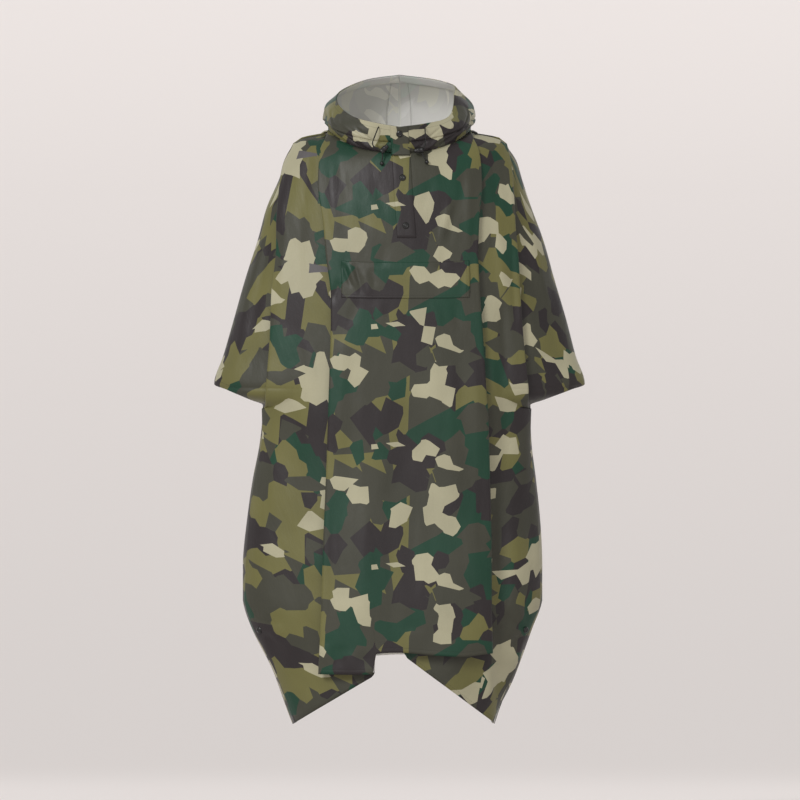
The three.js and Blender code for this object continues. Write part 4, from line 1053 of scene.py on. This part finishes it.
def front_point(x, drop, height=0.0):
    grid = np.zeros(x.shape + (3,))
    for hand, chosen in (("left", x < 0), ("right", x >= 0)):
        share = share_of(ring_at("front", hand, drop[chosen]), np.abs(x[chosen]))
        f = folds_at("front", hand, drop[chosen])
        grid[chosen] = cloth_point("front", hand, share, drop[chosen], f["centre"] + height)
    return grid


PLACKET_HALF = 18
PLACKET_LEAN = 0.066
sides = np.linspace(-1, 1, 15)


def placket_hood_row(share):
    middle = hood_point("left", 0.0, share)[0]
    acrosses = sides * PLACKET_HALF - PLACKET_LEAN * middle[2]
    angles = np.degrees(np.arcsin(np.abs(acrosses / middle[1])))
    points = np.array([hood_point("left" if x < 0 else "right", a, share)[0] for x, a in zip(acrosses, angles)])
    return points, np.sign(acrosses) * angles


placket_shares = np.linspace(1, 3 / 12, 28)
placket_drops = np.concatenate([np.linspace(4, 10, 4), np.linspace(10, 140, 34)[1:], [146, 152, 159]])
rows, row_angles = zip(*[placket_hood_row(s) for s in placket_shares])
chest_x, chest_drop = [], []
for drop in placket_drops:
    middle = float(look(RINGS, "drop", np.array([float(drop)]), "front")[0])
    chest_x.append(sides * PLACKET_HALF - PLACKET_LEAN * middle)
    chest_drop.append(np.full(len(sides), drop))
chest_x, chest_drop = np.array(chest_x), np.array(chest_drop)
chest = front_point(chest_x, chest_drop)
bridge = [mix(rows[-1], chest[0], t) for t in (0.2, 0.4, 0.6, 0.8, 0.99)]
placket = np.concatenate([np.array(rows), np.array(bridge), chest])
placket_normals = grid_normals(placket, 1)
if placket_normals[40, 7, 1] > 0:
    placket_normals = -placket_normals
chest_uv = front_uv(chest_x, chest_drop)
up = lengths(placket, 0)
top_count = len(rows) + len(bridge)
row_angles = np.array(row_angles + (row_angles[-1],) * len(bridge))
top_uv = np.stack([row_angles * 2.25 + PRINT_AT["hood"], up[top_count] - up[:top_count] + 40], axis=-1)
placket_uv = np.concatenate([top_uv, chest_uv])
edge_out = (1 - np.abs(sides)) * PLACKET_HALF
end = lengths(placket, 0)[-1].max() - lengths(placket, 0)
taper = smooth(edge_out / 7)[None] * smooth(end / 7 + 0.1)
shell("placket", placket, placket_normals, 0.52 + 0.2 * taper, 0.62 + 0.75 * taper, placket_uv, 40.0,
      [OUTSIDE, INSIDE], sheet=("laid", ["front_centre", "hood_left"]))

flap_x, flap_drop = np.meshgrid(np.linspace(-108, 130, 80), np.linspace(212, 292, 30))
flap = front_point(flap_x, flap_drop)
flap_normals = grid_normals(flap, 1)
if flap_normals[15, 40, 1] > 0:
    flap_normals = -flap_normals
flap_uv = front_uv(flap_x, flap_drop)
flap_down = (flap_drop - 212) / 80
left_edge, right_edge = flap_x + 108, 130 - flap_x
flap_taper = smooth(flap_down / 0.2) * smooth(left_edge / 26)
flap_hem = np.minimum(np.minimum(right_edge, left_edge + 30), (1 - flap_down) * 72) + 4
shell("pocket_flap", flap, flap_normals, 0.52 + 0.3 * flap_taper, 0.62 + 1.4 * flap_taper, flap_uv, flap_hem,
      [OUTSIDE, INSIDE], sheet=("laid", ["front_centre"]))

for piece, flat, area, (held, names) in DECLARED:
    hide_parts(piece.name.split(".")[0])


# Trims
def lathe(name, profile, turns_count, material):
    """A turned solid about +Z from (radius, height) pairs in mm."""
    points, faces = [], []
    for r, z in profile:
        for k in range(turns_count):
            a = 2 * math.pi * k / turns_count
            points.append((r * math.cos(a) * MM, r * math.sin(a) * MM, z * MM))
    for j in range(len(profile) - 1):
        for k in range(turns_count):
            n = (k + 1) % turns_count
            faces.append((j * turns_count + k, j * turns_count + n, (j + 1) * turns_count + n,
                          (j + 1) * turns_count + k))
    faces.append(tuple(range(turns_count))[::-1])
    faces.append(tuple(range((len(profile) - 1) * turns_count, len(profile) * turns_count)))
    mesh = bpy.data.meshes.new(name)
    mesh.from_pydata(points, [], faces)
    mesh.materials.append(material)
    for polygon in mesh.polygons:
        polygon.use_smooth = len(polygon.vertices) == 4
    mesh.update()
    piece = bpy.data.objects.new(name, mesh)
    bpy.context.scene.collection.objects.link(piece)
    return piece


def disc_frame(name):
    """The middle of a snap's base, and the way out of the cloth, read from its solid."""
    points = np.array([tuple(v.co) for v in NODES[name].data.vertices])
    middle = points.mean(axis=0)
    _, vectors = np.linalg.eigh(np.cov((points - middle).T))
    normal = vectors[:, 0]
    if normal[:2] @ middle[:2] < 0:
        normal = -normal
    low = ((points - middle) @ normal).min()
    return middle + normal * low, normal


def set_down(name, base, normal):
    """A snap's base moved onto the shown cloth."""
    if name.startswith("placket"):
        return base - normal * PLACKET_SINK
    mesh = SIDE_CLOTH[name.removeprefix("side_snap_")].data
    tree = BVHTree.FromPolygons([v.co for v in mesh.vertices], [tuple(p.vertices) for p in mesh.polygons])
    way = Vector(normal)
    side = way.orthogonal().normalized()
    heights = []
    for across in (side, -side, way.cross(side), -way.cross(side)):
        place = Vector(base) + across * SNAP_REACH
        hit = tree.ray_cast(place + way * SNAP_SEARCH, -way, 2 * SNAP_SEARCH)[0]
        if hit:
            heights.append((hit - Vector(base)).dot(way))
    return base + normal * (np.mean(heights) + SNAP_LIFT)


PLACKET_SINK = 0.0010
SNAP_REACH, SNAP_SEARCH, SNAP_LIFT = 0.0045, 0.02, 0.0012
SNAP_PROFILE = [
    (5.2, -1.6), (6.0, -0.6), (6.4, 0), (6.4, 0.5), (6.1, 0.8), (5.2, 1.5), (4.4, 2.05), (3.9, 2.2), (3.5, 2.1),
    (3.2, 1.75), (3.0, 1.5), (1.7, 1.42), (1.5, 1.55), (1.2, 1.6), (0.4, 1.6),
]
for name in [n for n in NODES if "snap" in n]:
    base, normal = disc_frame(name)
    base = set_down(name, base, normal)
    piece = lathe(name + "_cap", SNAP_PROFILE, 48, SNAP_METAL)
    turn = Vector((0, 0, 1)).rotation_difference(Vector(normal))
    piece.matrix_world = Matrix.Translation(Vector(base)) @ turn.to_matrix().to_4x4()
    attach(piece, "root")
    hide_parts(name)

LOCK_SCALE = 1.15
LOCK_PROFILE = [
    (3.9, -5.5), (4.5, -5.35), (4.9, -4.9), (5.0, -4.4), (5.0, -0.6), (4.7, -0.4), (4.7, 0.1), (5.0, 0.3),
    (5.0, 4.3), (4.8, 4.9), (4.3, 5.4), (3.75, 5.5), (3.7, 5.6), (3.7, 8.6), (3.5, 9.3), (2.9, 9.8), (2.0, 10),
    (0.8, 10),
]
BEAD_PROFILE = [(4.0 * math.sin(math.pi * i / 16), -4.0 * math.cos(math.pi * i / 16)) for i in range(1, 16)]
for hand, cord in CORDS.items():
    solid = np.array([tuple(v.co) for v in NODES[f"drawcord_{hand}"].data.vertices]) / MM
    first = solid[np.argsort(-solid[:, 1])[:8]].mean(axis=0)
    second = first + np.array([0, -1.0, 0])
    knots = np.array([first, second] + cord["route"], float)
    shares = np.linspace(0, 1, 90)
    route = catmull_rom(np.repeat(knots[None], len(shares), axis=0), shares) * MM
    curve = bpy.data.curves.new(f"drawcord_{hand}_line", "CURVE")
    curve.dimensions = "3D"
    spline = curve.splines.new("POLY")
    spline.points.add(len(route) - 1)
    for point, at in zip(spline.points, route):
        point.co = (*at, 1)
    curve.bevel_depth = CORD_RADIUS * MM
    curve.bevel_resolution = 4
    curve.use_fill_caps = True
    curve.materials.append(CORD_BRAID)
    line = bpy.data.objects.new(f"drawcord_{hand}_line", curve)
    bpy.context.scene.collection.objects.link(line)
    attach(line, "root")
    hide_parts(f"drawcord_{hand}")
    lock = lathe(f"cord_lock_{hand}_body", LOCK_PROFILE, 40, LOCK_PLASTIC)
    way = math.radians(90 - cord["tilt"])
    place = Matrix.Translation(Vector(cord["lock"]) * MM) @ Matrix.Rotation(way, 4, "Y")
    lock.matrix_world = place @ Matrix.Scale(LOCK_SCALE, 4)
    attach(lock, "root")
    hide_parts(f"cord_lock_{hand}")
    bead = lathe(f"cord_bead_{hand}_end", BEAD_PROFILE, 32, LOCK_PLASTIC)
    bead.matrix_world = Matrix.Translation(Vector(cord["bead"]) * MM)
    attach(bead, "root")
    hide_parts(f"cord_bead_{hand}")
    length = float(np.linalg.norm(np.diff(route, axis=0), axis=1).sum())
    SIZES[f"drawcord_{hand}"] = round(length, 4)

# Floor and light
floor_profile = [(0, 0), (12, 0), (26, 0.02), (36, 0.25), (43, 0.8), (48, 1.7), (51, 3.0), (52, 4.6)]
FLOOR_Z = -1.34
STAGE_TURNS = 96
points, faces = [(0, 0, FLOOR_Z)], []
for r, z in floor_profile[1:]:
    points += [(r * math.cos(2 * math.pi * k / STAGE_TURNS), r * math.sin(2 * math.pi * k / STAGE_TURNS),
                FLOOR_Z + z) for k in range(STAGE_TURNS)]
for k in range(STAGE_TURNS):
    n = (k + 1) % STAGE_TURNS
    faces.append((0, 1 + k, 1 + n))
    for j in range(len(floor_profile) - 2):
        a, b = 1 + j * STAGE_TURNS, 1 + (j + 1) * STAGE_TURNS
        faces.append((a + k, b + k, b + n, a + n))
floor_mesh = bpy.data.meshes.new("floor")
floor_mesh.from_pydata(points, [], faces)
for polygon in floor_mesh.polygons:
    polygon.use_smooth = True
floor = bpy.data.objects.new("floor", floor_mesh)
bpy.context.scene.collection.objects.link(floor)
floor_material, floor_tree, floor_shader = nodes_of("floor_paper")
floor_shader.inputs["Base Color"].default_value = srgb(228, 222, 220)
floor_shader.inputs["Roughness"].default_value = 0.9
floor_mesh.materials.append(floor_material)


def area_light(name, place, target, size, power, colour=(1, 1, 1)):
    data = bpy.data.lights.new(name, "AREA")
    data.shape = "SQUARE"
    data.size = size
    data.energy = power
    data.color = colour
    light = bpy.data.objects.new(name, data)
    bpy.context.scene.collection.objects.link(light)
    light.location = place
    light.rotation_euler = (Vector(target) - Vector(place)).to_track_quat("-Z", "Y").to_euler()


sun_data = bpy.data.lights.new("key", "SUN")
sun_data.energy = 1.9
sun_data.angle = math.radians(20)
sun = bpy.data.objects.new("key", sun_data)
bpy.context.scene.collection.objects.link(sun)
sun.rotation_euler = Vector((0.6, 1.0, -0.62)).to_track_quat("-Z", "Y").to_euler()
area_light("fill", (1.0, -3.8, -0.2), (0, 0, 0), 2.2, 16)
area_light("back_left", (-2.4, 3.4, 1.4), (0, 0, -0.5), 2.6, 14)
area_light("back_right", (2.6, 3.0, 1.2), (0, 0, -0.5), 2.6, 14)
world = bpy.data.worlds.new("studio")
world.use_nodes = True
world.node_tree.nodes["Background"].inputs[0].default_value = srgb(236, 234, 232)
world.node_tree.nodes["Background"].inputs[1].default_value = 0.70
bpy.context.scene.world = world
bpy.context.scene.view_settings.view_transform = "Standard"

for name, numbers in SIZES.items():
    print("size", name, numbers)
